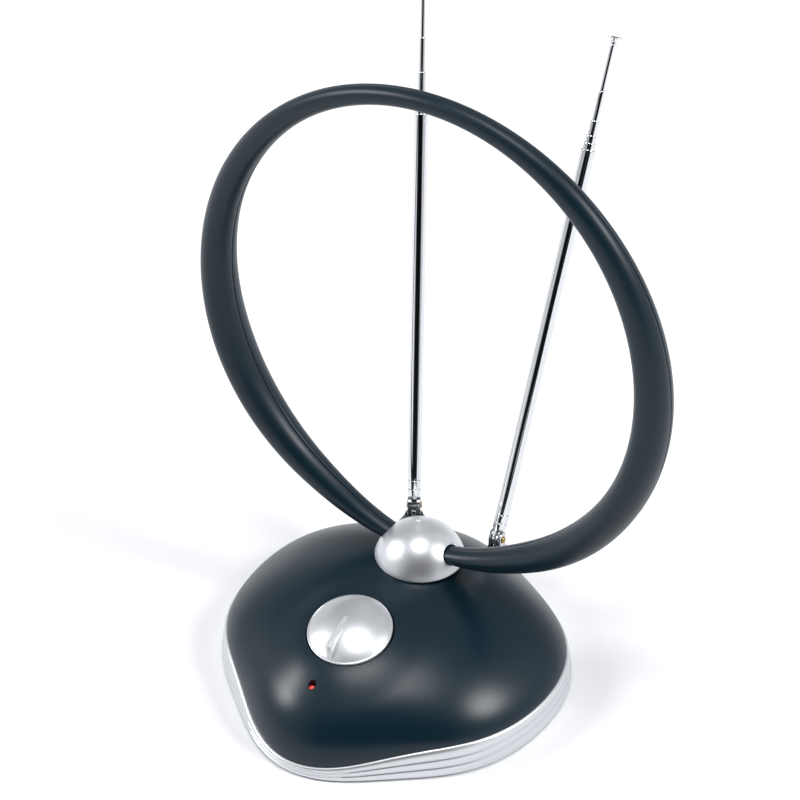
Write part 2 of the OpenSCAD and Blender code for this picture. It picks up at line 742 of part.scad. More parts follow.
// The conductor: an open ring in the loop whose ends run down through the stem
module loop_conductor() color(copper) {
    sides = 8;
    count = 72;
    first = 5.2;
    end = [[1.9, stem_end], [1.9, foot_z], [2.2, foot_z + 2.2], [3.4, foot_z + 4.1]];
    ring = [for (i = [0:count]) let (m = loop_mid(first + (360 - 2 * first) * i / count)) [m[0], m[2]]];
    path = concat(end, ring, [for (i = [3:-1:0]) [-end[i][0], end[i][1]]]);
    n = len(path);
    loft([for (i = [0:n - 1]) let (
        d = path[min(i + 1, n - 1)] - path[max(i - 1, 0)],
        w = wire_r * [d[1], -d[0]] / norm(d)) [for (k = [0:sides - 1]) let (f = 360 * (k + 0.5) / sides)
        [path[i][0] + cos(f) * w[0], turret_back - wire_r * sin(f), path[i][1] + cos(f) * w[1]]]], false);
}

// A fork: a round bar with two flats, a slot between its ears and a stem below
module fork(side) color(chrome) {
    swivel_frame(side) difference() {
        union() {
            intersection() {
                post(fork_r, -fork_foot, fork_r);
                translate([-fork_half, -fork_r - 1, -fork_foot])
                    cube([2 * fork_half, 2 * fork_r + 2, 2 * fork_foot]);
                union() {
                    rotate([0, 90, 0]) translate([0, 0, -fork_half])
                        cylinder(r = fork_r, h = 2 * fork_half, $fn = 48);
                    translate([-fork_half, -fork_r, -fork_foot]) cube([2 * fork_half, 2 * fork_r, fork_foot]);
                }
            }
            post(spindle_r, -rod_rise - seat_drop - spindle_end, -fork_foot + over);
        }
        translate([-tongue_half - tongue_play, -fork_r - 1, -fork_slot])
            cube([2 * (tongue_half + tongue_play), 2 * fork_r + 2, fork_slot + fork_r + 1]);
        rotate([0, 90, 0]) translate([0, 0, -fork_half - 1])
            cylinder(r = pivot_r + fit, h = 2 * fork_half + 2, $fn = 32);
    }
}

module spindle_nut(side) color(steel) {
    low = -rod_rise - seat_drop;
    swivel_frame(side) difference() {
        union() {
            post(spindle_r + spindle_nut_rim, low - touch - 0.8, low - touch);
            hexagon(spindle_r + spindle_nut_rim, low - touch - 0.8 - spindle_nut_t, low - touch - 0.7);
        }
        post(spindle_r + fit, low - spindle_end, low + 1);
    }
}

module hinge_screw(side) color(brass) {
    swivel_frame(side) rotate([0, 90, 0]) difference() {
        union() {
            post(pivot_r, -fork_half - 0.2, fork_half + 0.2);
            post(pivot_r + 0.4, fork_half + fit, fork_half + 0.6);
            post(pivot_r + 0.35, -fork_half - 0.35, -fork_half - fit);
        }
        translate([0, 0, fork_half + 0.6]) cube([1.9, 0.4, 0.6], center = true);
        translate([0, 0, fork_half + 0.6]) cube([0.4, 1.9, 0.6], center = true);
    }
}

// A knuckle: the tongue in the fork and the plug inside the thickest tube
module knuckle(side) color(chrome) {
    plug_r = tube_r - tube_wall - fit;
    rod_frame(side) difference() {
        union() {
            translate([-tongue_half, 0, 0]) rotate([0, 90, 0])
                cylinder(r = fork_slot - 0.3, h = 2 * tongue_half, $fn = 48);
            translate([-tongue_half, -2.5, 0]) cube([2 * tongue_half, 5, tube_start + 1]);
            post(plug_r, tube_start + 0.1, tube_start + plug_len);
        }
        translate([-2 * tongue_half, 0, 0]) rotate([0, 90, 0])
            cylinder(r = pivot_r + pivot_play, h = 4 * tongue_half, $fn = 32);
    }
}

// A tube: the thickest has two rolled grooves, the thinner ones a sleeve at their foot
module tube(side, i) color(chrome) {
    out = side > 0 ? right_out : left_out;
    r = tube_radius(i);
    high = tube_top(out, i);
    low = high - tube_length(i);
    rod_frame(side) difference() {
        union() {
            post(r, low, high);
            if (i > 1) post(r + tube_play / 2, low, low + 6);
        }
        if (i < tubes) post(r - tube_wall, low - over, high + over);
        if (i == 1) for (g = groove_at) translate([0, 0, tube_start + g]) rotate_extrude($fn = 64)
            translate([r + groove_r - 0.2, 0]) circle(r = groove_r, $fn = 24);
    }
}

module tip_cap(side) color(chrome) {
    out = side > 0 ? right_out : left_out;
    low = tube_top(out, tubes);
    rod_frame(side) translate([0, 0, low]) rotate_extrude($fn = 64) polygon([
        [0, fit], [0.45 * cap_r, fit], [0.45 * cap_r, 0.2 * cap_len], [0.36 * cap_r, 0.26 * cap_len],
        [0.4 * cap_r, 0.5 * cap_len], [0.65 * cap_r, 0.68 * cap_len], [0.95 * cap_r, 0.78 * cap_len],
        [cap_r, 0.84 * cap_len], [cap_r, 0.93 * cap_len], [0.93 * cap_r, 0.98 * cap_len], [0, cap_len]]);
}

bottom_cover();
rubber_feet();
cover_screws();
ballast_plate();
bezel();
top_shell();
circuit_board();
board_screws();
board_parts();
shield_can();
balun();
power_light();
coax_socket();
coax_nut();
power_inlet();
gain_control();
gain_control_nut();
gain_shaft();
gain_knob();
turret_base();
turret_dome();
turret_washer();
turret_nut();
loop_front_half();
loop_rear_half();
loop_conductor();
loop_screws();
fork(-1);  // left_fork
spindle_nut(-1);  // left_spindle_nut
hinge_screw(-1);  // left_hinge_screw
knuckle(-1);  // left_knuckle
tube(-1, 1);  // left_tube_1
tube(-1, 2);  // left_tube_2
tube(-1, 3);  // left_tube_3
tube(-1, 4);  // left_tube_4
tube(-1, 5);  // left_tube_5
tube(-1, 6);  // left_tube_6
tip_cap(-1);  // left_tip_cap
fork(1);  // right_fork
spindle_nut(1);  // right_spindle_nut
hinge_screw(1);  // right_hinge_screw
knuckle(1);  // right_knuckle
tube(1, 1);  // right_tube_1
tube(1, 2);  // right_tube_2
tube(1, 3);  // right_tube_3
tube(1, 4);  // right_tube_4
tube(1, 5);  // right_tube_5
tube(1, 6);  // right_tube_6
tip_cap(1);  // right_tip_cap
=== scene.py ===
"""Looks of an indoor television antenna: a black lobed base on a silver bezel, a gain knob,
a silver turret with a black oval loop, and two chromed telescopic rods."""

import json
import math

import bmesh
import bpy
import numpy as np
from bpy.props import FloatProperty, FloatVectorProperty, PointerProperty, StringProperty
from mathutils import Matrix, Vector


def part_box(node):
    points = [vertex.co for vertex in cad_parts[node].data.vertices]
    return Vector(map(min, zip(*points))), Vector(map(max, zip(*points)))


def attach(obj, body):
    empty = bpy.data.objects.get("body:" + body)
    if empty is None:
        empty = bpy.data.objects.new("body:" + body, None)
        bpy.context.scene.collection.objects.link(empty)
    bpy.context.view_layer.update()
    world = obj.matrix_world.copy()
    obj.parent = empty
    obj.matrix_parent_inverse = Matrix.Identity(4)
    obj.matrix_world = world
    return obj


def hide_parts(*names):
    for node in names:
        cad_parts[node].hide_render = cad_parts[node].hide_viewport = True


bl_info = {
    "name": "Indoor antenna",
    "version": (1, 0, 0),
    "blender": (4, 5, 0),
    "location": "View3D > Sidebar > Antenna",
    "description": "Dresses the indoor antenna's frame with its visible surfaces and finishes",
    "category": "Object",
}

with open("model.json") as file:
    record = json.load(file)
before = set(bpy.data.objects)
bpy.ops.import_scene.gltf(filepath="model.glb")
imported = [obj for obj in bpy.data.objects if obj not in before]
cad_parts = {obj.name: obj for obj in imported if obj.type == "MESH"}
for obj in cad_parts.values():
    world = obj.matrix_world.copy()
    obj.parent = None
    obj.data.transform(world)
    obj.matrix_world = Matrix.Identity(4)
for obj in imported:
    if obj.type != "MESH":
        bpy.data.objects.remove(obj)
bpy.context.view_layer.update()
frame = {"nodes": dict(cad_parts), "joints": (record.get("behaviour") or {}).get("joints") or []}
MM = 0.001
# Edges sharper than this many degrees stay sharp, where a piece gives no angle of its own
CREASE = 38.0


# Sizes that a user would change


def size(label, text, value, low, high, subtype="DISTANCE_CAMERA"):
    """A size with its label, what it is, its default and its range.

    It is a length in millimetres, as Blender shows a camera's distances, unless its subtype is another."""
    return FloatProperty(
        name=label, description=text, default=value, min=low, max=high, precision=3, subtype=subtype
    )


def finish_colour(label, text, value):
    """A finish's colour as an sRGB hex value."""
    return StringProperty(name=label, description=text, default=value, maxlen=7)


class AntennaBase(bpy.types.PropertyGroup):
    """Sizes of the base, in millimetres"""

    mean_radius: size("Mean radius", "Mean radius of the base's outline", 72.7, 60, 90)
    lean: size("Lean to the back", "How far the outline leans to the back", 3.2, 0, 6)
    oval: size("Oval", "Narrowing of the outline from front to back", 0.5, 0, 2)
    three: size("Three lobes", "Three-sided swelling of the outline", 1.4, 0, 3)
    four: size("Four lobes", "Four-sided swelling of the outline", 1.9, 0, 3)
    six: size("Six lobes", "Six-sided swelling of the outline", 1.2, 0, 2)
    band_height: size("Band height", "Mean height of the silver band", 9.9, 8, 13)
    band_wave: size("Band wave", "Wave of the band's height, low at front and back", 3.7, 0, 5)
    band_four: size("Fourfold band wave", "Fourfold wave of the band's height", 1.7, 0, 3)
    band_lean: size("Band lean", "Difference of the band's height between back and front", 0.5, 0, 1)
    band_inset: size("Band inset", "Least inset of the band's top edge", 1.3, 1, 2)
    band_slope: size("Band slope", "Inset for each millimetre of the band's height", 0.1, 0, 0.2, "FACTOR")
    seam: size("Seam", "Gap between the shell and the band", 0.25, 0.1, 0.5)
    wall: size("Shell wall", "Wall of the shell", 2.2, 1.5, 3)
    roundness: size("Roundness", "Roundness of the crown", 2.3, 2, 3, "FACTOR")
    roundness_front: size("Front roundness", "Added roundness towards the front", 0.6, 0, 1, "FACTOR")
    roundness_sides: size("Side roundness", "Added roundness towards both ends", 0.2, 0, 0.5, "FACTOR")
    edge: size("Edge steepness", "Steepness of the crown's edge", 0.72, 0.5, 1, "FACTOR")
    shoulder: size("Front shoulder", "How much fuller the front shoulder is", 0.22, 0, 0.3, "FACTOR")
    knob_rise: size("Rise to the knob", "Rise of the crown towards the knob", 1.2, 0, 1.5)
    pocket_gap: size("Pocket gap", "Gap between the knob and its pocket", 0.5, 0.2, 1)
    light_hole: size("Light hole", "Radius of the power light's hole", 1.65, 1.2, 2.5)


class AntennaLoop(bpy.types.PropertyGroup):
    """Sizes of the loop, in millimetres"""

    width: size("Half width", "Half width of the loop's middle line", 97.2, 80, 110)
    height: size("Half height", "Half height of the loop's middle line", 98.65, 80, 110)
    lift: size("Lift", "Height of the lowest middle point above the dome's foot", 6.85, 5, 9)
    drop: size("Drop", "How far the foot is drawn down below the oval", 2.4, 0, 4)
    foot_thick: size("Foot thickness", "Half thickness at the foot", 2.0, 1.5, 4)
    wide_thick: size("Greatest thickness", "Greatest half thickness", 7.1, 5, 9)
    top_thick: size("Top thickness", "Half thickness at the top", 3.45, 2, 5)
    foot_deep: size("Foot depth", "Half depth at the foot", 4.1, 3, 7)
    wide_deep: size("Greatest depth", "Greatest half depth", 9.25, 7, 12)
    top_deep: size("Top depth", "Half depth at the top", 4.0, 3, 6)
    seam: size("Seam", "Seam between the two half shells", 0.16, 0.05, 0.4)


class AntennaFinish(bpy.types.PropertyGroup):
    """Colours of the finishes, as sRGB hex values"""

    black: finish_colour("Black plastic", "Colour of the satin black mouldings", "#031c27")
    silver: finish_colour("Silver lacquer", "Colour of the silver lacquer", "#d4d7da")
    chrome: finish_colour("Chrome", "Colour of the chromed rods", "#e2e4e6")
    light: finish_colour("Power light", "Colour of the power light", "#d8403c")
    floor: finish_colour("Floor", "Colour of the studio floor", "#e9eaec")


class AntennaStage(bpy.types.PropertyGroup):
    """Camera and light of the studio"""

    eye: FloatVectorProperty(
        name="Camera place",
        description="Where the camera stands",
        default=(0.2910, -0.4393, 0.5029),
        unit="LENGTH",
    )
    lens: FloatProperty(name="Lens", description="Focal length in millimetres", default=77.1, min=20, max=200)
    tilt: FloatProperty(
        name="Camera tilt", description="Turn from straight down", default=math.radians(55), subtype="ANGLE"
    )
    turn: FloatProperty(
        name="Camera turn", description="Turn round the upright", default=math.radians(33), subtype="ANGLE"
    )
    power: FloatProperty(
        name="Light power", description="The top softbox's light in watts a square metre", default=1.35, min=0
    )


# Meshes


def new_object(name, mesh, body, material, replaced=()):
    """Links an object with that mesh and material, hangs it on its body's empty and hides the nodes that it
    replaces.
    """
    piece = bpy.data.objects.new(name, mesh)
    bpy.context.scene.collection.objects.link(piece)
    mesh.materials.append(material)
    if body:
        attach(piece, body)
    if replaced:
        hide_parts(*replaced)
    return piece


def smoothed(mesh, crease=CREASE):
    """The mesh with smooth faces and its edges sharper than the crease angle marked."""
    mesh.shade_smooth()
    mesh.set_sharp_from_angle(angle=math.radians(crease))
    return mesh


def tidy(mesh, crease=CREASE):
    """The mesh with its doubled points merged, all faces outwards and its sharp edges marked."""
    work = bmesh.new()
    work.from_mesh(mesh)
    bmesh.ops.remove_doubles(work, verts=work.verts, dist=1e-7)
    bmesh.ops.dissolve_degenerate(work, edges=work.edges, dist=1e-8)
    bmesh.ops.recalc_face_normals(work, faces=work.faces)
    work.to_mesh(mesh)
    work.free()
    return smoothed(mesh, crease)


def grid_mesh(name, points, ring=False, crease=CREASE):
    """Mesh of a grid of points, rows by columns, in millimetres.

    The columns always close round. With ring the last row joins the first, otherwise the first
    and last rows are capped, or meet in a pole where all their points are one."""
    rows, columns = points.shape[:2]
    index = np.arange(rows * columns).reshape(rows, columns)
    lower = index if ring else index[:-1]
    upper = np.roll(index, -1, axis=0) if ring else index[1:]
    quads = np.stack([lower, np.roll(lower, -1, axis=1), np.roll(upper, -1, axis=1), upper], axis=-1)
    faces = quads.reshape(-1, 4).tolist()
    if not ring:
        for row in (0, rows - 1):
            if np.ptp(points[row], axis=0).max() > 1e-6:
                faces.append(index[row].tolist())
    mesh = bpy.data.meshes.new(name)
    mesh.from_pydata((points.reshape(-1, 3) * MM).tolist(), [], faces)
    return tidy(mesh, crease)


def lathe(name, profile, centre, axis, count=96, ring=False, crease=CREASE):
    """Mesh of a profile of (radius, height) turned round an axis, in millimetres: centre + height * axis
    + radius * (cos * across + sin * beside), one row for each profile point."""
    axis = np.array(axis, float) / np.linalg.norm(axis)
    across = np.cross(axis, (0.0, 1.0, 0.0) if abs(axis[1]) < 0.9 else (1.0, 0.0, 0.0))
    across /= np.linalg.norm(across)
    beside = np.cross(axis, across)
    turn = np.linspace(0, 2 * np.pi, count, endpoint=False)[None, :, None]
    radius, height = np.array(profile, float).T[:, :, None, None]
    points = np.array(centre) + height * axis + radius * (np.cos(turn) * across + np.sin(turn) * beside)
    return grid_mesh(name, points, ring, crease)


def arc(centre, radius, start, end, count):
    """Points (radius, height) of an arc of a profile, from one angle to another in degrees."""
    angle = np.radians(np.linspace(start, end, count))
    return [(centre[0] + radius * math.cos(a), centre[1] + radius * math.sin(a)) for a in angle]


def joined(name, meshes):
    """One mesh of several, with its sharp edges marked anew."""
    work = bmesh.new()
    for mesh in meshes:
        work.from_mesh(mesh)
    whole = bpy.data.meshes.new(name)
    work.to_mesh(whole)
    work.free()
    return smoothed(whole)


def carved(mesh, cutters, crease=CREASE):
    """The mesh with each of the cutting meshes taken out of it."""
    scene = bpy.context.scene.collection
    block = bpy.data.objects.new(mesh.name, mesh)
    scene.objects.link(block)
    tools = []
    for cutter in cutters:
        tool = bpy.data.objects.new("cutter", cutter)
        scene.objects.link(tool)
        tools.append(tool)
        cut = block.modifiers.new("cut", "BOOLEAN")
        cut.operation = "DIFFERENCE"
        cut.solver = "EXACT"
        cut.object = tool
    bpy.context.view_layer.update()
    graph = bpy.context.evaluated_depsgraph_get()
    result = bpy.data.meshes.new_from_object(block.evaluated_get(graph))
    for thing in [block] + tools:
        bpy.data.objects.remove(thing)
    return tidy(result, crease)


def copy_of_node(node, bevel):
    """A merged copy of a CAD node's mesh, with its sharp edges rounded by a bevel in millimetres."""
    mesh = frame["nodes"][node].data.copy()
    mesh.materials.clear()
    work = bmesh.new()
    work.from_mesh(mesh)
    bmesh.ops.remove_doubles(work, verts=work.verts, dist=2e-7)
    bmesh.ops.dissolve_limit(work, angle_limit=math.radians(1), verts=work.verts, edges=work.edges)
    work.to_mesh(mesh)
    work.free()
    block = bpy.data.objects.new(node, mesh)
    bpy.context.scene.collection.objects.link(block)
    rounding = block.modifiers.new("rounding", "BEVEL")
    rounding.width = bevel * MM
    rounding.segments = 2
    rounding.limit_method = "ANGLE"
    rounding.angle_limit = math.radians(50)
    graph = bpy.context.evaluated_depsgraph_get()
    result = bpy.data.meshes.new_from_object(block.evaluated_get(graph))
    bpy.data.objects.remove(block)
    result.materials.clear()
    return smoothed(result)


# Materials


def linear(code):
    """An sRGB hex value as linear red, green, blue and alpha."""
    parts = [int(code[i : i + 2], 16) / 255 for i in (1, 3, 5)]
    return tuple(p / 12.92 if p <= 0.04045 else ((p + 0.055) / 1.055) ** 2.4 for p in parts) + (1.0,)


def add(tree, kind, inputs=None, **settings):
    """Adds a node of that kind, or takes a node that is there, sets its settings and fills its inputs.

    An input given as a socket is linked. A Mix node's colours are inputs 6 and 7 and output 2."""
    node = tree.nodes.new(kind) if isinstance(kind, str) else kind
    for key, value in settings.items():
        setattr(node, key, value)
    for key, value in (inputs or {}).items():
        if isinstance(value, bpy.types.NodeSocket):
            tree.links.new(value, node.inputs[key])
        else:
            node.inputs[key].default_value = value
    return node


def new_material(name):
    """An empty node material with its tree, its principled shader and the Object coordinates."""
    material = bpy.data.materials.new(name)
    material.use_nodes = True
    tree = material.node_tree
    return material, tree, tree.nodes["Principled BSDF"], add(tree, "ShaderNodeTexCoord").outputs["Object"]


def per_mm(length):
    """Noise scale of a pattern whose features are that many millimetres apart."""
    return 1 / (length * MM)


def shade(code, factor):
    """A hex value made darker or lighter by a factor."""
    parts = [min(255, round(int(code[i : i + 2], 16) * factor)) for i in (1, 3, 5)]
    return "#%02x%02x%02x" % tuple(parts)


def mottled(tree, share, code, dark, light, gloss, gloss_share=None):
    """Base colour and roughness for a shader, as its inputs.

    The colour wanders between two shades of the code with a texture's share. The roughness stays, or
    wanders between two values with the same share or another one."""
    tint = add(
        tree, "ShaderNodeMix",
        {0: share, 6: linear(shade(code, dark)), 7: linear(shade(code, light))}, data_type="RGBA",
    )
    if isinstance(gloss, tuple):
        gloss = add(
            tree, "ShaderNodeMapRange",
            {"Value": gloss_share or share, "From Min": 0.3, "From Max": 0.7, "To Min": gloss[0],
             "To Max": gloss[1]},
        ).outputs["Result"]
    return {"Base Color": tint.outputs[2], "Roughness": gloss}


def textured_abs(name, code, roughness, grain=0.45, depth=0.012, dust=0.0):
    """Moulded ABS with a spark-eroded texture: satin, with a broad gleam, a fine grain and some dust.

    The grit of such a texture is about 0.1 mm; it is drawn coarser so that it shows. The dust lies in
    specks about 0.3 mm across and 5 mm apart."""
    material, tree, shader, place = new_material(name)
    grit = add(
        tree, "ShaderNodeTexNoise",
        {"Vector": place, "Scale": per_mm(grain), "Detail": 3.0, "Roughness": 0.6},
    ).outputs["Fac"]
    cloud = add(tree, "ShaderNodeTexNoise", {"Vector": place, "Scale": per_mm(24), "Detail": 2.0})
    speck = add(tree, "ShaderNodeTexVoronoi", {"Vector": place, "Scale": per_mm(5)})
    near = add(
        tree, "ShaderNodeMapRange",
        {"Value": speck.outputs["Distance"], "From Min": 0.02, "From Max": 0.045, "To Min": dust,
         "To Max": 0.0},
    )
    relief = add(tree, "ShaderNodeBump", {"Height": grit, "Strength": 1.0, "Distance": depth * MM})
    gloss = (roughness - 0.02, roughness + 0.02)
    inputs = mottled(tree, grit, code, 0.9, 1.12, gloss, cloud.outputs["Fac"])
    dusty = add(
        tree, "ShaderNodeMix",
        {0: near.outputs["Result"], 6: inputs["Base Color"], 7: linear("#9aa0a2")}, data_type="RGBA",
    )
    inputs.update({
        "Base Color": dusty.outputs[2], "Normal": relief.outputs["Normal"], "IOR": 1.53,
        "Specular IOR Level": 0.32,
    })
    add(tree, shader, inputs)
    return material


def silver_lacquer(name, code):
    """Silver lacquer with aluminium flake over moulded ABS: a satin metallic sheen, finely grained.

    Flakes are about 0.03 mm; they are drawn at 0.3 mm, the least that shows."""
    material, tree, shader, place = new_material(name)
    flake = add(tree, "ShaderNodeTexNoise", {"Vector": place, "Scale": per_mm(0.3), "Detail": 2.0})
    flake = flake.outputs["Fac"]
    relief = add(tree, "ShaderNodeBump", {"Height": flake, "Strength": 1.0, "Distance": 0.004 * MM})
    add(tree, shader, {"Normal": relief.outputs["Normal"], "Metallic": 0.8})
    add(tree, shader, mottled(tree, flake, code, 0.965, 1.03, (0.33, 0.39)))
    return material


def plain(name, code, length, detail, dark, light, gloss, **settings):
    """A finish that wanders with one noise, whose features are that many millimetres apart."""
    material, tree, shader, place = new_material(name)
    marks = add(tree, "ShaderNodeTexNoise", {"Vector": place, "Scale": per_mm(length), "Detail": detail})
    add(tree, shader, mottled(tree, marks.outputs["Fac"], code, dark, light, gloss))
    add(tree, shader, {key.replace("_", " "): value for key, value in settings.items()})
    return material


def chrome_plate(name, code, roughness):
    """Chrome plate: a mirror with the faintest wiping marks."""
    return plain(name, code, 3, 4, 0.97, 1, (roughness * 0.7, roughness * 1.3), Metallic=1)


def worn_metal(name, code, roughness, length=0.6):
    """Plain plated or turned metal: fine tool marks and a slightly uneven sheen."""
    return plain(name, code, length, 3, 0.88, 1.05, (roughness - 0.06, roughness + 0.06), Metallic=1)


def board_laminate(name, code):
    """Glass-fibre laminate under green solder resist: its weave shows faintly, about 0.6 mm apart."""
    material, tree, shader, place = new_material(name)
    weave = add(tree, "ShaderNodeTexChecker", {"Vector": place, "Scale": per_mm(0.6)})
    add(tree, shader, mottled(tree, weave.outputs["Fac"], code, 0.9, 1.1, 0.35))
    return material


palette = {}


def finish(name):
    """The material of that name, made once from the scene's finishes."""
    if name not in palette:
        codes = bpy.context.scene.antenna_finish
        makers = {
            "black": lambda: textured_abs("satin_black_abs", codes.black, 0.32, dust=0.35),
            "loop_black": lambda: textured_abs("satin_black_abs_loop", codes.black, 0.38, dust=0.25),
            "pocket_black": lambda: textured_abs("matt_black_abs_pocket", "#0b0d0f", 0.6),
            "cover": lambda: textured_abs("matt_black_abs_cover", "#17191b", 0.55, 0.8, 0.03),
            "silver": lambda: silver_lacquer("silver_lacquer", codes.silver),
            "chrome": lambda: chrome_plate("bright_chrome_plate", codes.chrome, 0.06),
            "fork_chrome": lambda: chrome_plate("chrome_plate_on_zinc", shade(codes.chrome, 0.93), 0.12),
            # Red epoxy lens of a light-emitting diode that is lit: clear, glossy and glowing from inside
            "light": lambda: plain(
                "clear_red_epoxy", codes.light, 1.2, 1, 0.8, 1, 0.12, IOR=1.54,
                Emission_Color=linear(codes.light), Emission_Strength=0.6,
            ),
            # Moulded rubber: matt, nearly black, with a dusty bloom
            "rubber": lambda: plain("black_rubber", "#161616", 1.5, 5, 0.8, 1.4, 0.8),
            "zinc": lambda: worn_metal("zinc_plated_steel", "#aeb1b4", 0.35),
            "tin": lambda: worn_metal("tin_plate", "#b9bbbd", 0.3, 2),
            "nickel": lambda: worn_metal("nickel_plated_brass", "#c9c7c0", 0.22),
            "brass": lambda: worn_metal("turned_brass", "#b89a55", 0.3),
            "copper": lambda: worn_metal("drawn_copper", "#b87146", 0.32),
            "laminate": lambda: board_laminate("glass_fibre_laminate", "#1d5c36"),
            "ferrite": lambda: textured_abs("sintered_ferrite", "#26282b", 0.6, 0.5),
            "dielectric": lambda: textured_abs("white_polythene", "#e4e2da", 0.45, 1.0, 0.005),
            # Seamless white paper: matt, with hardly any structure
            "floor": lambda: plain("white_studio_paper", codes.floor, 2, 2, 0.995, 1, 0.9),
        }
        palette[name] = makers[name]()
    return palette[name]


def dress(name, *nodes):
    """Gives CAD nodes that stay in view a finish."""
    for node in nodes:
        mesh = frame["nodes"][node].data
        mesh.materials.clear()
        mesh.materials.append(finish(name))


# Forms of the base, in millimetres and degrees

# Gap between the turret's dome and the crown
TURRET_GAP = 0.2
# The flat under the dome: its radius and how far it lies below the crown's top
FLAT_RADIUS = 20.9
FLAT_DROP = 0.1
# The band's plain foot inside: its wall and its height
FOOT_WALL = 3.4
FOOT_HEIGHT = 2.5
# The rear panel: the bearings of its ends, its wall, and the ledge's height above the shell's edge
PANEL_FROM = 152
PANEL_TO = 208
PANEL_WALL = 2
LEDGE_RISE = 1.54
LEDGE_WALL = 1.5
# The knob's lip above its foot, and its dome above the lip
KNOB_LIP = 1.2
KNOB_DOME = 5.0


def ease(share):
    """A share from 0 to 1 that starts and ends gently, by half a cosine."""
    return (1 - np.cos(np.pi * np.clip(share, 0, 1))) / 2


class Crown:
    """The base's outline, band and crown as functions of the bearing a from the front, in radians."""

    def __init__(self, sizes):
        self.s = sizes
        self.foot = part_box("bezel")[0].z / MM
        low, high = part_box("turret_dome")
        self.back = low.y / MM / 2 + high.y / MM / 2
        self.top = low.z / MM - TURRET_GAP
        self.knob, self.knob_radius = knob_place()[0], knob_radius()
        bearings = np.linspace(0, np.pi, 4001)
        edge = self.rim(bearings)
        self.table = np.arctan2(edge[:, 0], self.back - edge[:, 1]), bearings

    def outline(self, a):
        """Mean radius, a lean to the back and swellings of two, three, four and six sides."""
        s = self.s
        return (
            s.mean_radius - s.lean * np.cos(a) - s.oval * np.cos(2 * a) + s.three * np.cos(3 * a)
            + s.four * np.cos(4 * a) + s.six * np.cos(6 * a)
        )

    def band(self, a):
        """Height of the band: a mean with a twofold, a threefold and a fourfold wave."""
        s = self.s
        return (
            s.band_height - s.band_wave * np.cos(2 * a) - s.band_lean * np.cos(3 * a)
            - s.band_four * np.cos(4 * a)
        )

    def inset(self, a):
        """Inset of the band's top edge, which grows with the band's height."""
        return self.s.band_inset + self.s.band_slope * self.band(a)

    def polar(self, radius, a, z):
        """A point at a radius and bearing from the base's middle."""
        return np.stack([radius * np.sin(a), -radius * np.cos(a), z + 0 * a], axis=-1)

    def rim(self, a):
        """The shell's lower edge, just above the band."""
        return self.polar(self.outline(a) - self.inset(a), a, self.foot + self.band(a) + self.s.seam)

    def height(self, x, y):
        """Height of the crown: along each line from the turret's axis to the rim it falls from the top
        by the power law (1 - share ** roundness) ** edge, and it rises gently round the knob."""
        a = np.interp(np.arctan2(np.abs(x), self.back - y), *self.table)
        edge = self.rim(a)
        share = np.hypot(x, y - self.back) / np.hypot(edge[..., 0], edge[..., 1] - self.back)
        share = np.clip(share, 0, 1)
        s = self.s
        power = s.roundness + s.roundness_front * np.cos(a) + s.roundness_sides * np.cos(2 * a)
        fall = s.edge - s.shoulder * ((1 + np.cos(a)) / 2) ** 4
        off = np.hypot(x, y - self.knob[1]) / self.knob_radius - 1
        rise = s.knob_rise * (1 - ease(off / 0.85))
        return edge[..., 2] + (self.top - edge[..., 2]) * (1 - share**power) ** fall + rise


def crown():
    """The crown for the scene's sizes."""
    return Crown(bpy.context.scene.antenna_base)


def joint(name):
    """A joint of the record by its name."""
    return next(j for j in frame["joints"] if j["name"] == name)


def knob_place():
    """The knob's foot centre in millimetres and its axis."""
    j = joint("knob_turn")
    return np.array(j["pos_m"]) / MM, np.array(j["axis"])


def bezel_mesh(form):
    """The band: each bearing's profile of shares of inset and height, carried round the outline.

    Three fine tiers with rounded noses and hollow steps, then a shoulder up to the shell."""
    tiers = [
        (0.30, 0.0), (0.10, 0.012), (0.02, 0.04), (0.0, 0.08), (0.01, 0.2), (0.03, 0.29), (0.07, 0.325),
        (0.2, 0.345), (0.22, 0.37), (0.2, 0.395), (0.175, 0.425), (0.2, 0.55), (0.23, 0.6), (0.27, 0.625),
        (0.4, 0.645), (0.42, 0.67), (0.4, 0.695), (0.375, 0.725), (0.41, 0.81), (0.46, 0.86), (0.56, 0.92),
        (0.72, 0.965), (0.86, 0.988), (1.0, 1.0),
    ]
    count = 720
    a = np.linspace(0, 2 * np.pi, count, endpoint=False)
    outer, high, inset = form.outline(a), form.band(a), form.inset(a)
    rows = [form.polar(outer - share * inset, a, form.foot + level * high) for share, level in tiers]
    rows.append(form.polar(outer - inset - form.s.wall, a, form.foot + high))
    rows.append(form.polar(outer - FOOT_WALL, a, form.foot + FOOT_HEIGHT))
    rows.append(form.polar(outer - FOOT_WALL, a, form.foot))
    return grid_mesh("bezel", np.array(rows), ring=True, crease=50)


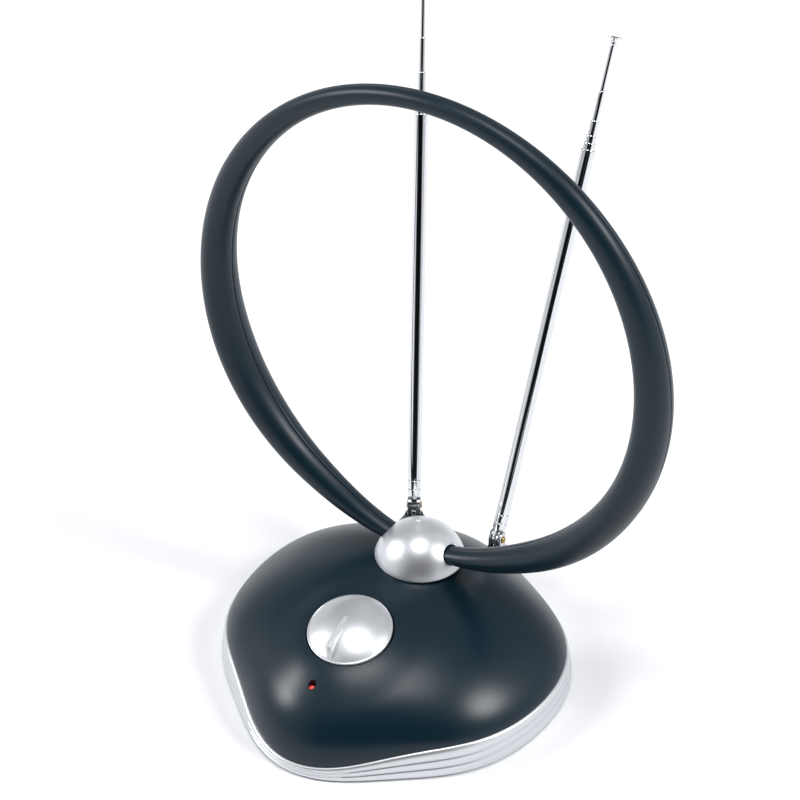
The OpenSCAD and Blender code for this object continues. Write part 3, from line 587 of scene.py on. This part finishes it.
def shell_mesh(form):
    """The crown as a closed wall on a grid of bearing round the knob by way from its pocket to the rim.

    Each line from the pocket's edge to the rim takes its heights from the crown, closer together
    towards the rim; the inner face lies a wall further in."""
    centre, axis = knob_place()
    pocket = knob_radius() + form.s.pocket_gap
    count, steps = 480, 90
    turn = np.linspace(0, 2 * np.pi, count, endpoint=False)
    way = np.stack([np.sin(turn), -np.cos(turn)], axis=-1)
    edge = form.rim(np.linspace(0, 2 * np.pi, 7200, endpoint=False))
    bearing = np.arctan2(edge[:, 0], -(edge[:, 1] - centre[1]))
    order = np.argsort(bearing)
    reach = np.interp(
        np.angle(np.exp(1j * turn)), bearing[order],
        np.hypot(edge[order, 0], edge[order, 1] - centre[1]), period=2 * np.pi,
    )
    near = np.full(count, pocket)
    # The pocket's edge lies at its radius from the knob's tilted axis: the way to it is found by steps
    for _ in range(12):
        spot = np.concatenate([centre[:2] + near[:, None] * way, np.zeros((count, 1))], axis=1)
        spot[:, 2] = form.height(spot[:, 0], spot[:, 1])
        off = spot - centre
        off -= np.outer(off @ axis, axis)
        near *= pocket / np.linalg.norm(off, axis=1)
    share = 1 - (1 - np.linspace(0, 1, steps + 1)) ** 2.2

    def ring(k, inner):
        """Points all round at a share k of the way from the pocket to the rim, outside or inside."""
        radius = near + (reach - near) * k
        flat = centre[:2] + radius[:, None] * way
        z = form.height(flat[:, 0], flat[:, 1])
        if inner:
            low = form.foot + form.s.seam + form.band(np.arctan2(flat[:, 0], -flat[:, 1]))
            drop = (z - low) * form.s.wall / (form.top - low)
            z = z - drop
            flat = centre[:2] + (radius - form.s.wall * k)[:, None] * way
            flat -= (1 - k) ** 6 * drop[:, None] * axis[:2] / axis[2]
        else:
            under_dome = np.hypot(flat[:, 0], flat[:, 1] - form.back) < FLAT_RADIUS
            z = np.where(under_dome, np.minimum(z, form.top - FLAT_DROP), z)
        return np.concatenate([flat, z[:, None]], axis=1)

    rows = [ring(0, False) - 0.3 * axis]
    rows += [ring(0.004 if k == 0 else k, False) for k in share]
    rows += [ring(k, True) for k in share[::-1]]
    return grid_mesh("shell", np.array(rows), ring=True, crease=50)


def knob_radius():
    """Radius of the knob, from the width of its node."""
    low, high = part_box("gain_knob")
    return (high.x - low.x) / MM / 2


def box_mesh(name, low, high):
    """A box between two corners in millimetres."""
    mesh = bpy.data.meshes.new(name)
    work = bmesh.new()
    bmesh.ops.create_cube(work, size=1.0)
    middle = (Vector(low) + Vector(high)) * MM / 2
    span = Vector(high) * MM - Vector(low) * MM
    place = Matrix.Translation(middle) @ Matrix.Diagonal((*span, 1))
    bmesh.ops.transform(work, matrix=place, verts=work.verts)
    work.to_mesh(mesh)
    work.free()
    return mesh


class ANTENNA_OT_bezel(bpy.types.Operator):
    """Makes the silver band round the base"""

    bl_idname = "antenna.bezel"
    bl_label = "Bezel"

    def execute(self, context):
        new_object("bezel_band", bezel_mesh(crown()), "base", finish("silver"), ["bezel"])
        return {"FINISHED"}


class ANTENNA_OT_shell(bpy.types.Operator):
    """Makes the black shell with the knob's pocket, the light's hole and the seats of the rods"""

    bl_idname = "antenna.shell"
    bl_label = "Shell"

    def execute(self, context):
        form = crown()
        centre, axis = knob_place()
        pocket = knob_radius() + form.s.pocket_gap
        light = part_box("power_light")
        light_y = (light[0].y + light[1].y) / MM / 2
        light_z = float(form.height(np.array(0.0), np.array(light_y)))
        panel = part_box("coax_nut")[0].y / MM - 0.1
        ledge = form.foot + float(form.band(math.radians(158))) + form.s.seam + LEDGE_RISE
        bore = [(form.s.light_hole, -8), (form.s.light_hole, 6)]
        hole = lathe("hole", bore, (0, light_y, light_z), (0, 0, 1), 48)
        room = box_mesh("room", (-60, panel, ledge), (60, panel + 40, 60))
        wide = pocket + 1.7
        cup = [(3.8, -5.2), (3.8, -3.2), (pocket, -3.2), (pocket, -1.2), (wide, -1.2), (wide, -5.2)]
        meshes = [carved(shell_mesh(form), [hole, room], 50), lathe("cup", cup, centre, axis, ring=True)]
        for side in ("left", "right"):
            hinge = np.array(joint(side + "_swivel_turn")["pos_m"]) / MM
            seat = float(form.height(hinge[0], hinge[1]))
            top = hinge[2] - 4.9
            profile = [(3.07, seat - 7), (3.07, top - 0.15), (3.22, top), (3.55, top), (3.72, top - 0.06)]
            profile += [(3.85, top - 0.25)]
            flare = np.linspace(0.1, 1, 10)
            profile += [(3.85 + (7 - 3.85) * k**1.15, top - 0.25 + (seat - top + 0.4) * k) for k in flare]
            profile += [(7.4, seat - 0.6), (7, seat - 7)]
            meshes.append(lathe("seat", profile, (hinge[0], hinge[1], 0), (0, 0, 1), ring=True))
        count = 57
        a = np.radians(np.linspace(PANEL_FROM, PANEL_TO, count))
        inset = 2.0 + 0.7 * np.abs(np.linspace(-1, 1, count))
        outer = form.polar(form.outline(a) - form.inset(a) - inset, a, ledge)
        half = outer[0, 0]
        across = np.linspace(-half - 1.0, half + 1.0, count)
        crest = form.height(across, np.full(count, panel)) - 0.12
        low = np.where(np.abs(across) > half - 2.6, ledge - 0.14, ledge - LEDGE_WALL)
        face = np.full(count, panel - PANEL_WALL)
        front = np.stack([across, face, crest], axis=-1)
        below = np.stack([across, face, low], axis=-1)
        back = (0, PANEL_WALL, 0)
        meshes.append(slab_mesh("panel", np.array([front, front + back, below + back, below])))
        inner = np.stack([np.linspace(outer[0, 0], outer[-1, 0], count), face, 0 * a + ledge], axis=-1)
        down = np.array((0, 0, -LEDGE_WALL))
        meshes.append(slab_mesh("ledge", np.array([outer, inner, inner + down, outer + down])))
        new_object("shell", joined("shell", meshes), "base", finish("black"), ["top_shell"])
        return {"FINISHED"}


def slab_mesh(name, rows):
    """A bar of four long edges, closed at its two ends."""
    return grid_mesh(name, np.swapaxes(rows, 0, 1))


class ANTENNA_OT_knob(bpy.types.Operator):
    """Makes the gain knob: a shallow dome with a lip and a wedge for a pointer"""

    bl_idname = "antenna.knob"
    bl_label = "Gain knob"

    def execute(self, context):
        centre, axis = knob_place()
        radius, lip = knob_radius(), KNOB_LIP
        shoulder = radius - 0.6
        ball = (shoulder**2 + KNOB_DOME**2) / (2 * KNOB_DOME)
        top = lip + KNOB_DOME
        reach = radius - 0.95
        dome = arc((0, top - ball), ball, 90, 90 - math.degrees(math.asin(reach / ball)), 40)
        foot = dome[-1][1]
        # A fine groove parts the dome from the lip
        profile = dome + [(reach + 0.06, foot - 0.28), (reach + 0.26, foot - 0.3), (radius - 0.6, lip - 0.1)]
        profile += [(radius - 0.48, lip), (radius - 0.25, lip - 0.04), (radius - 0.07, lip - 0.2)]
        profile += [(radius, lip - 0.45), (radius, 0.2), (radius - 0.3, 0), (radius - 0.3, -1.4)]
        profile += [(radius - 2.1, -1.4), (radius - 2.1, 0)]
        profile += [(r * 0.9, h - 1.6) for r, h in dome[::-1]]
        cap = lathe("cap", profile, centre, axis, 192)
        beside = np.array((1.0, 0, 0))
        along = np.cross(axis, beside)
        # Each row: distance along the pointer, its place beside it, half width and heights of foot and crest
        ridge = (
            (2.5, -1.4, 1.0, 5.3, 6.0), (1.4, -1.4, 1.1, 5.0, 6.9), (-13.3, -0.8, 1.2, 2.5, 6.1),
            (-13.8, -0.7, 1.2, 2.3, 5.9), (-16.0, 1.0, 0.9, 1.0, 2.0), (-16.3, 1.2, 0.8, 0.6, 1.2),
        )
        rows = []
        for y, x, half, foot, crest in ridge:
            corners = [
                (x - half - 0.15, foot), (x - half, crest - 0.12), (x - half + 0.12, crest),
                (x + half - 0.12, crest), (x + half, crest - 0.12), (x + half + 0.28 * (crest - foot), foot),
            ]
            rows.append([centre + a * beside + y * along + z * axis for a, z in corners])
        wedge = grid_mesh("wedge", np.array(rows), crease=30)
        boss = lathe("boss", [(3.05, 0.6), (4.9, 0.6), (4.9, 4.6), (3.05, 4.6)], centre, axis, 48, ring=True)
        knob = joined("knob", [cap, wedge, boss])
        new_object("gain_knob_cap", knob, "knob", finish("silver"), ["gain_knob"])
        return {"FINISHED"}


class ANTENNA_OT_light(bpy.types.Operator):
    """Makes the power light: a round-nosed red lens with its two leads"""

    bl_idname = "antenna.light"
    bl_label = "Power light"

    def execute(self, context):
        low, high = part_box("power_light")
        middle = ((low.x + high.x) / MM / 2, (low.y + high.y) / MM / 2, 0)
        radius = (high.x - low.x) / MM / 2
        top = high.z / MM
        profile = arc((0, top - radius), radius, 90, 0, 14)
        profile += [(radius, top - radius - 3.2), (radius, top - radius - 4), (0, top - radius - 4)]
        lens = lathe("lens", profile, middle, (0, 0, 1), 48)
        wire = [(0, low.z / MM), (0.3, low.z / MM), (0.3, top - 5), (0, top - 5)]
        leads = [lathe("lead", wire, (x, middle[1], 0), (0, 0, 1), 12) for x in (-0.7, 0.7)]
        light = joined("light", [lens] + leads)
        new_object("power_light_lens", light, "base", finish("light"), ["power_light"])
        return {"FINISHED"}


# Forms of the turret and the loop, in millimetres and degrees

# Angles from the loop's foot: where its ends lie, where it leaves the dome, where it is thickest and
# deepest, and how far its foot is drawn down
LOOP_END = 3.7
SLOT_AT = 10.0
THICKEST_AT = 62
DEEPEST_AT = 70
DRAWN_TO = 33.8
# The loop's play in the dome's slots, and the dome's wall
SLOT_PLAY = 0.35
DOME_WALL = 1.8


def swell(t, at, low, wide, high, rise, fall):
    """A size that grows from low to wide at the angle at, and falls to high at 180 degrees."""
    up = low + (wide - low) * ease(np.clip(t / at, 0, 1) ** rise)
    down = wide + (high - wide) * ease(np.clip((t - at) / (180 - at), 0, 1) ** fall)
    return np.where(t < at, up, down)


class Oval:
    """The loop's middle line and section as functions of the angle t from its foot, in degrees."""

    def __init__(self, sizes):
        self.s = sizes
        low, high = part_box("turret_dome")
        self.back = (low.y + high.y) / MM / 2
        self.foot = low.z / MM
        self.middle = self.foot + sizes.lift + sizes.height

    def thick(self, t):
        """Half thickness."""
        t = np.minimum(t, 360 - t)
        return swell(t, THICKEST_AT, self.s.foot_thick, self.s.wide_thick, self.s.top_thick, 0.57, 1.2)

    def deep(self, t):
        """Half depth."""
        t = np.minimum(t, 360 - t)
        return swell(t, DEEPEST_AT, self.s.foot_deep, self.s.wide_deep, self.s.top_deep, 0.77, 0.75)

    def line(self, t):
        """The middle line: an ellipse that is drawn down at its foot."""
        drop = self.s.drop * (1 - ease(np.minimum(t, 360 - t) / DRAWN_TO))
        a = np.radians(t)
        x = (self.s.width + drop) * np.sin(a)
        return np.stack([x, 0 * a + self.back, self.middle - (self.s.height + drop) * np.cos(a)], -1)

    def point(self, t, u, v):
        """A point at u outwards and v backwards from the middle line."""
        a = np.radians(t)
        out = np.stack([np.sin(a), 0 * a, -np.cos(a)], -1)
        return self.line(t) + u[..., None] * out + v[..., None] * np.array((0, 1.0, 0))


def oval():
    """The oval for the scene's sizes."""
    return Oval(bpy.context.scene.antenna_loop)


def half_loop_mesh(form, face):
    """One half shell: a half ellipse, flat at the seam and rounded there, carried round the oval."""
    count, steps = 480, 40
    t = np.linspace(LOOP_END, 360 - LOOP_END, count + 1)[:, None]
    nose = 0.3
    seam = form.s.seam / 2
    f = np.radians(np.linspace(0, 180, steps + 1))[None, :]
    thick, deep = form.thick(t), form.deep(t)
    u = thick * np.cos(f)
    v = deep * np.sin(f)
    v = seam + v * (1 - nose / deep) + nose
    inner = np.array([-1.0, 1.0])[None, :]
    u = np.concatenate([u, (thick - nose * 0.9) * inner], axis=1)
    v = np.concatenate([v, np.full((count + 1, 2), seam)], axis=1)
    return grid_mesh("half_loop", form.point(t, u, face * v), crease=60)


class ANTENNA_OT_loop(bpy.types.Operator):
    """Makes the two half shells of the oval loop"""

    bl_idname = "antenna.loop"
    bl_label = "Loop"

    def execute(self, context):
        form = oval()
        for name, face in (("front", -1), ("rear", 1)):
            new_object(
                "loop_%s_shell" % name, half_loop_mesh(form, face), "turret", finish("loop_black"),
                ["loop_%s_half" % name],
            )
        return {"FINISHED"}


class ANTENNA_OT_dome(bpy.types.Operator):
    """Makes the silver dome of the turret with its two slots"""

    bl_idname = "antenna.dome"
    bl_label = "Turret dome"

    def execute(self, context):
        form = oval()
        low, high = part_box("turret_dome")
        foot, top = low.z / MM, high.z / MM
        spread = (high.x - low.x) / MM / 2
        radius = (spread**2 + (top - foot) ** 2) / (2 * (top - foot))
        centre = (0, form.back, top - radius)
        fall = math.degrees(math.asin((foot - centre[2]) / radius))
        outer = arc((0, 0), radius, 90, fall + 0.8, 90)
        edge = [(outer[-1][0] - 0.05, foot - centre[2] + 0.05), (outer[-1][0] - 0.3, foot - centre[2])]
        inner = arc((0, 0), radius - DOME_WALL, fall * 1.12, 90, 60)
        body = lathe("dome", outer + edge + inner, centre, (0, 0, 1), 256)
        f = np.radians(np.linspace(0, 360, 64, endpoint=False))[None, :]
        cutters = []
        thick, deep = form.thick(SLOT_AT) + SLOT_PLAY, form.deep(SLOT_AT) + SLOT_PLAY
        for angle in (SLOT_AT, 360 - SLOT_AT):
            section = form.point(np.array([[angle]]), thick * np.cos(f), deep * np.sin(f))
            a = math.radians(angle)
            along = np.array((math.cos(a), 0, math.sin(a)))
            cutters.append(grid_mesh("slot", np.array([section[0] - 9 * along, section[0] + 9 * along])))
        dome = carved(body, cutters, 45)
        new_object("dome", dome, "turret", finish("silver"), ["turret_dome"])
        return {"FINISHED"}


# Forms of the rods, in millimetres

# Radius of the thickest tube, how much thinner each next one is, and the tubes' wall
TUBE_RADIUS = 3.0
TUBE_STEP = 0.4
TUBE_WALL = 0.3


def along_rod(node, origin, axis):
    """A node's lowest and highest place along a rod's axis and its greatest radius, in millimetres."""
    mesh = frame["nodes"][node].data
    co = np.empty(len(mesh.vertices) * 3)
    mesh.vertices.foreach_get("co", co)
    off = co.reshape(-1, 3) / MM - origin
    way = off @ axis
    return way.min(), way.max(), np.linalg.norm(off - np.outer(way, axis), axis=1).max()


def tube_profile(low, high, radius, bore, grooves=()):
    """A drawn tube: its rim is rolled in at the top, its foot is cut, and grooves are rolled round it."""
    roll = min(0.28, (radius - bore) * 0.9)
    points = [(bore, low), (radius - 0.06, low), (radius, low + 0.06)]
    for groove in grooves:
        for k in np.linspace(-1, 1, 13):
            points.append((radius - 0.22 * math.cos(k * math.pi / 2) ** 1.5, low + groove + 0.26 * k))
    points += [(radius, high - 1.1)]
    for k in np.linspace(0.05, 1, 6) * math.pi / 2:
        points.append((radius - roll * (1 - math.cos(k)), high - roll * 1.3 * (1 - math.sin(k))))
    points += [(bore, high - 0.02)]
    return points


class ANTENNA_OT_rods(bpy.types.Operator):
    """Makes the telescopic rods: tubes, tip caps, knuckles, forks and hinge screws"""

    bl_idname = "antenna.rods"
    bl_label = "Rods"

    def execute(self, context):
        for side in ("left", "right"):
            origin = np.array(joint(side + "_rod_tilt")["pos_m"]) / MM
            axis = np.array(joint(side + "_section_2_slide")["axis"])
            axis /= np.linalg.norm(axis)
            for i in range(1, 7):
                node = "%s_tube_%d" % (side, i)
                low, high, _ = along_rod(node, origin, axis)
                radius = TUBE_RADIUS - TUBE_STEP * (i - 1)
                bore = radius - TUBE_WALL if i < 6 else 0.0
                grooves = (2.85, 6.7) if i == 1 else ()
                profile = tube_profile(low, high, radius, bore, grooves)
                # The thinner tubes have a wider foot that slides in the tube before
                if i > 1:
                    profile[1:3] = [(radius + 0.05, low), (radius + 0.05, low + 5.8), (radius, low + 6.0)]
                body = side + "_rod" if i == 1 else "%s_section_%d" % (side, i)
                mesh = lathe("tube", profile, origin, axis, 96, ring=i < 6, crease=30)
                new_object(node + "_drawn", mesh, body, finish("chrome"), [node])
            node = side + "_tip_cap"
            low, high, radius = along_rod(node, origin, axis)
            length = high - low
            # As shares of the cap's radius and length: a small collar, a flared neck and a thin disc
            profile = [(0, 0), (0.43, 0), (0.45, 0.03), (0.45, 0.17), (0.43, 0.2), (0.37, 0.24)]
            profile += [(0.36 + 0.58 * k**2.4, 0.26 + 0.52 * k) for k in np.linspace(0.05, 1, 12)]
            profile += [(0.985, 0.81), (1, 0.85), (1, 0.91), (0.985, 0.95), (0.94, 0.975), (0.5, 0.995)]
            profile += [(0, 1)]
            profile = [(r * radius, h * length) for r, h in profile]
            cap = lathe("cap", profile, origin + low * axis, axis, 96, crease=40)
            new_object(node + "_turned", cap, side + "_section_6", finish("chrome"), [node])
            for part, body, coat, slot, bevel in (
                ("knuckle", "rod", "fork_chrome", "chrome_plate", 0.12),
                ("fork", "swivel", "fork_chrome", "chrome_plate", 0.22),
                ("hinge_screw", "swivel", "brass", "brass", 0.06),
            ):
                node = "%s_%s" % (side, part)
                mesh = copy_of_node(node, bevel)
                new_object(node + "_cast", mesh, "%s_%s" % (side, body), finish(coat), [node])
        return {"FINISHED"}


class ANTENNA_OT_sockets(bpy.types.Operator):
    """Makes the coaxial socket's thread and dresses the power inlet"""

    bl_idname = "antenna.sockets"
    bl_label = "Sockets"

    def execute(self, context):
        low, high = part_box("coax_socket")
        centre = ((low.x + high.x) / MM / 2, 0, (low.z + high.z) / MM / 2)
        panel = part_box("coax_nut")[0].y / MM - 0.1
        end = high.y / MM
        radius, pitch, depth = 4.7, 0.79, 0.28
        steps = int((end - panel) / pitch * 12)
        y = np.linspace(panel - 1.5, end, steps)[:, None]
        turn = np.linspace(0, 2 * np.pi, 72, endpoint=False)[None, :]
        phase = np.mod(y / pitch - turn / (2 * np.pi), 1)
        cut = depth * (1 - np.abs(2 * phase - 1)) * np.clip((end - y) / 0.8, 0.2, 1)
        reach = radius - cut
        x, z = centre[0] + reach * np.cos(turn), centre[2] - reach * np.sin(turn)
        thread = np.stack([x, y + 0 * turn, z], axis=-1)
        drill = lathe("drill", [(3.8, panel + 2), (3.8, end + 2)], centre, (0, 1, 0), 72)
        barrel = carved(grid_mesh("barrel", thread, crease=25), [drill], 25)
        flange = lathe("flange", [(6.3, panel - 3.6), (6.3, panel - 2.1)], centre, (0, 1, 0), 6)
        pin = lathe("pin", [(2, panel - 9), (2, panel - 3)], centre, (0, 1, 0), 32)
        coax = joined("coax", [barrel, flange, pin])
        new_object("coax_barrel", coax, "base", finish("nickel"), ["coax_socket"])
        rim = [(0.6, end - 1.2), (0.9, end - 0.95), (2.75, end - 0.95), (2.9, end - 1.1)]
        core = [(0.45, panel + 2), (0.45, end - 2.2)] + rim + [(2.9, panel + 2)]
        core = lathe("core", core, centre, (0, 1, 0), 48, ring=True)
        new_object("coax_core", core, "base", finish("dielectric"))
        nut, inlet = copy_of_node("coax_nut", 0.15), copy_of_node("power_inlet", 0.12)
        new_object("coax_nut_bevelled", nut, "base", finish("nickel"), ["coax_nut"])
        black = finish("pocket_black")
        new_object("power_inlet_moulded", inlet, "base", black, ["power_inlet"])
        return {"FINISHED"}


class ANTENNA_OT_hidden(bpy.types.Operator):
    """Dresses the pieces under and inside the base"""

    bl_idname = "antenna.hidden"
    bl_label = "Underside and inside"

    def execute(self, context):
        dress("cover", "bottom_cover")
        dress("rubber", "rubber_feet")
        dress("zinc", "cover_screws", "ballast_plate", "board_screws", "turret_washer", "loop_screws")
        dress("zinc", "left_spindle_nut", "right_spindle_nut")
        dress("laminate", "circuit_board")
        dress("pocket_black", "board_parts")
        dress("tin", "shield_can", "gain_control")
        dress("ferrite", "balun")
        dress("nickel", "gain_control_nut", "turret_nut")
        dress("brass", "gain_shaft")
        dress("pocket_black", "turret_base")
        dress("copper", "loop_conductor")
        return {"FINISHED"}


# The studio


def distant_light(name, direction, power, width):
    """A softbox so far away that its light falls evenly; its width is the angle that it fills."""
    data = bpy.data.lights.new(name, "SUN")
    data.energy = power
    data.angle = math.radians(width)
    lamp = bpy.data.objects.new(name, data)
    lamp.rotation_euler = Vector(direction).to_track_quat("Z", "Y").to_euler()
    bpy.context.scene.collection.objects.link(lamp)
    return lamp


def bearing(azimuth, height):
    """A direction from its azimuth, counted from the front to the right, and its height in degrees."""
    a, h = math.radians(azimuth), math.radians(height)
    return math.cos(h) * math.sin(a), -math.cos(h) * math.cos(a), math.sin(h)


class ANTENNA_OT_stage(bpy.types.Operator):
    """Makes the floor, the lights, the surroundings and the camera"""

    bl_idname = "antenna.stage"
    bl_label = "Stage"

    def execute(self, context):
        scene = context.scene
        sizes = scene.antenna_stage
        scene.view_settings.view_transform = "Standard"
        camera = bpy.data.cameras.new("camera")
        camera.lens = sizes.lens
        camera.sensor_width = 36
        eye = bpy.data.objects.new("camera", camera)
        eye.location = sizes.eye
        eye.rotation_euler = (sizes.tilt, 0, sizes.turn)
        scene.collection.objects.link(eye)
        scene.camera = eye
        floor = bpy.data.meshes.new("floor")
        # Half its side, in metres: so wide that its edge stays out of sight
        half = 60.0
        corners = [(-half, -half, 0), (half, -half, 0), (half, half, 0), (-half, half, 0)]
        floor.from_pydata(corners, [], [(0, 1, 2, 3)])
        new_object("floor", floor, None, finish("floor"))
        distant_light("left_softbox", bearing(-60, 33), sizes.power * 1.2, 18)
        distant_light("right_softbox", bearing(105, 41), sizes.power * 1.4, 19)
        distant_light("top_softbox", bearing(28, 83), sizes.power, 25)
        world = bpy.data.worlds.new("studio")
        scene.world = world
        world.use_nodes = True
        tree = world.node_tree
        place = add(tree, "ShaderNodeTexCoord").outputs["Generated"]
        # The walls are brighter low down. Two dark openings in front, one above and one level, darken the
        # dome's foot and draw a dark stripe in the chrome. Each has its bearing, the cosines of its edge
        # and core, and the share of light that is left
        height = add(tree, "ShaderNodeSeparateXYZ", {0: place}).outputs["Z"]
        walls = add(
            tree, "ShaderNodeMapRange",
            {"Value": height, "From Min": 0.1, "From Max": 0.5, "To Min": 0.75, "To Max": 0.42},
        ).outputs["Result"]
        for middle, edge, core, left in (((39, 44), 0.7, 0.97, 0.1), ((25, 6), 0.74, 0.84, 0.015)):
            front = add(
                tree, "ShaderNodeVectorMath", {0: place, 1: bearing(*middle)}, operation="DOT_PRODUCT"
            )
            gloom = add(
                tree, "ShaderNodeMapRange",
                {"Value": front.outputs["Value"], "From Min": edge, "From Max": core, "To Min": 1.0,
                 "To Max": left},
            ).outputs["Result"]
            walls = add(tree, "ShaderNodeMath", {0: walls, 1: gloom}, operation="MULTIPLY").outputs[0]
        add(tree, tree.nodes["Background"], {"Color": linear("#fbfcff"), "Strength": walls})
        return {"FINISHED"}


class ANTENNA_PT_panel(bpy.types.Panel):
    """Lists the pieces and their sizes"""

    bl_idname = "ANTENNA_PT_panel"
    bl_label = "Indoor antenna"
    bl_space_type = "VIEW_3D"
    bl_region_type = "UI"
    bl_category = "Antenna"

    def draw(self, context):
        for step in STEPS:
            self.layout.operator(step.bl_idname)
        for group in ("antenna_base", "antenna_loop", "antenna_finish", "antenna_stage"):
            box = self.layout.box()
            sizes = getattr(context.scene, group)
            for name in sizes.__annotations__:
                box.prop(sizes, name)


GROUPS = {
    "antenna_base": AntennaBase,
    "antenna_loop": AntennaLoop,
    "antenna_finish": AntennaFinish,
    "antenna_stage": AntennaStage,
}
STEPS = (
    ANTENNA_OT_stage,
    ANTENNA_OT_bezel,
    ANTENNA_OT_shell,
    ANTENNA_OT_knob,
    ANTENNA_OT_light,
    ANTENNA_OT_dome,
    ANTENNA_OT_loop,
    ANTENNA_OT_rods,
    ANTENNA_OT_sockets,
    ANTENNA_OT_hidden,
)
CLASSES = tuple(GROUPS.values()) + STEPS + (ANTENNA_PT_panel,)


def register():
    """Registers the classes and hangs the sizes on the scene."""
    for cls in CLASSES:
        bpy.utils.register_class(cls)
    for name, cls in GROUPS.items():
        setattr(bpy.types.Scene, name, PointerProperty(type=cls))


def unregister():
    """Takes the sizes and the classes away again."""
    for name in GROUPS:
        delattr(bpy.types.Scene, name)
    for cls in reversed(CLASSES):
        bpy.utils.unregister_class(cls)


def main():
    """Makes the pieces in order."""
    register()
    for step in STEPS:
        category, name = step.bl_idname.split(".")
        getattr(getattr(bpy.ops, category), name)()


if __name__ == "__main__":
    main()
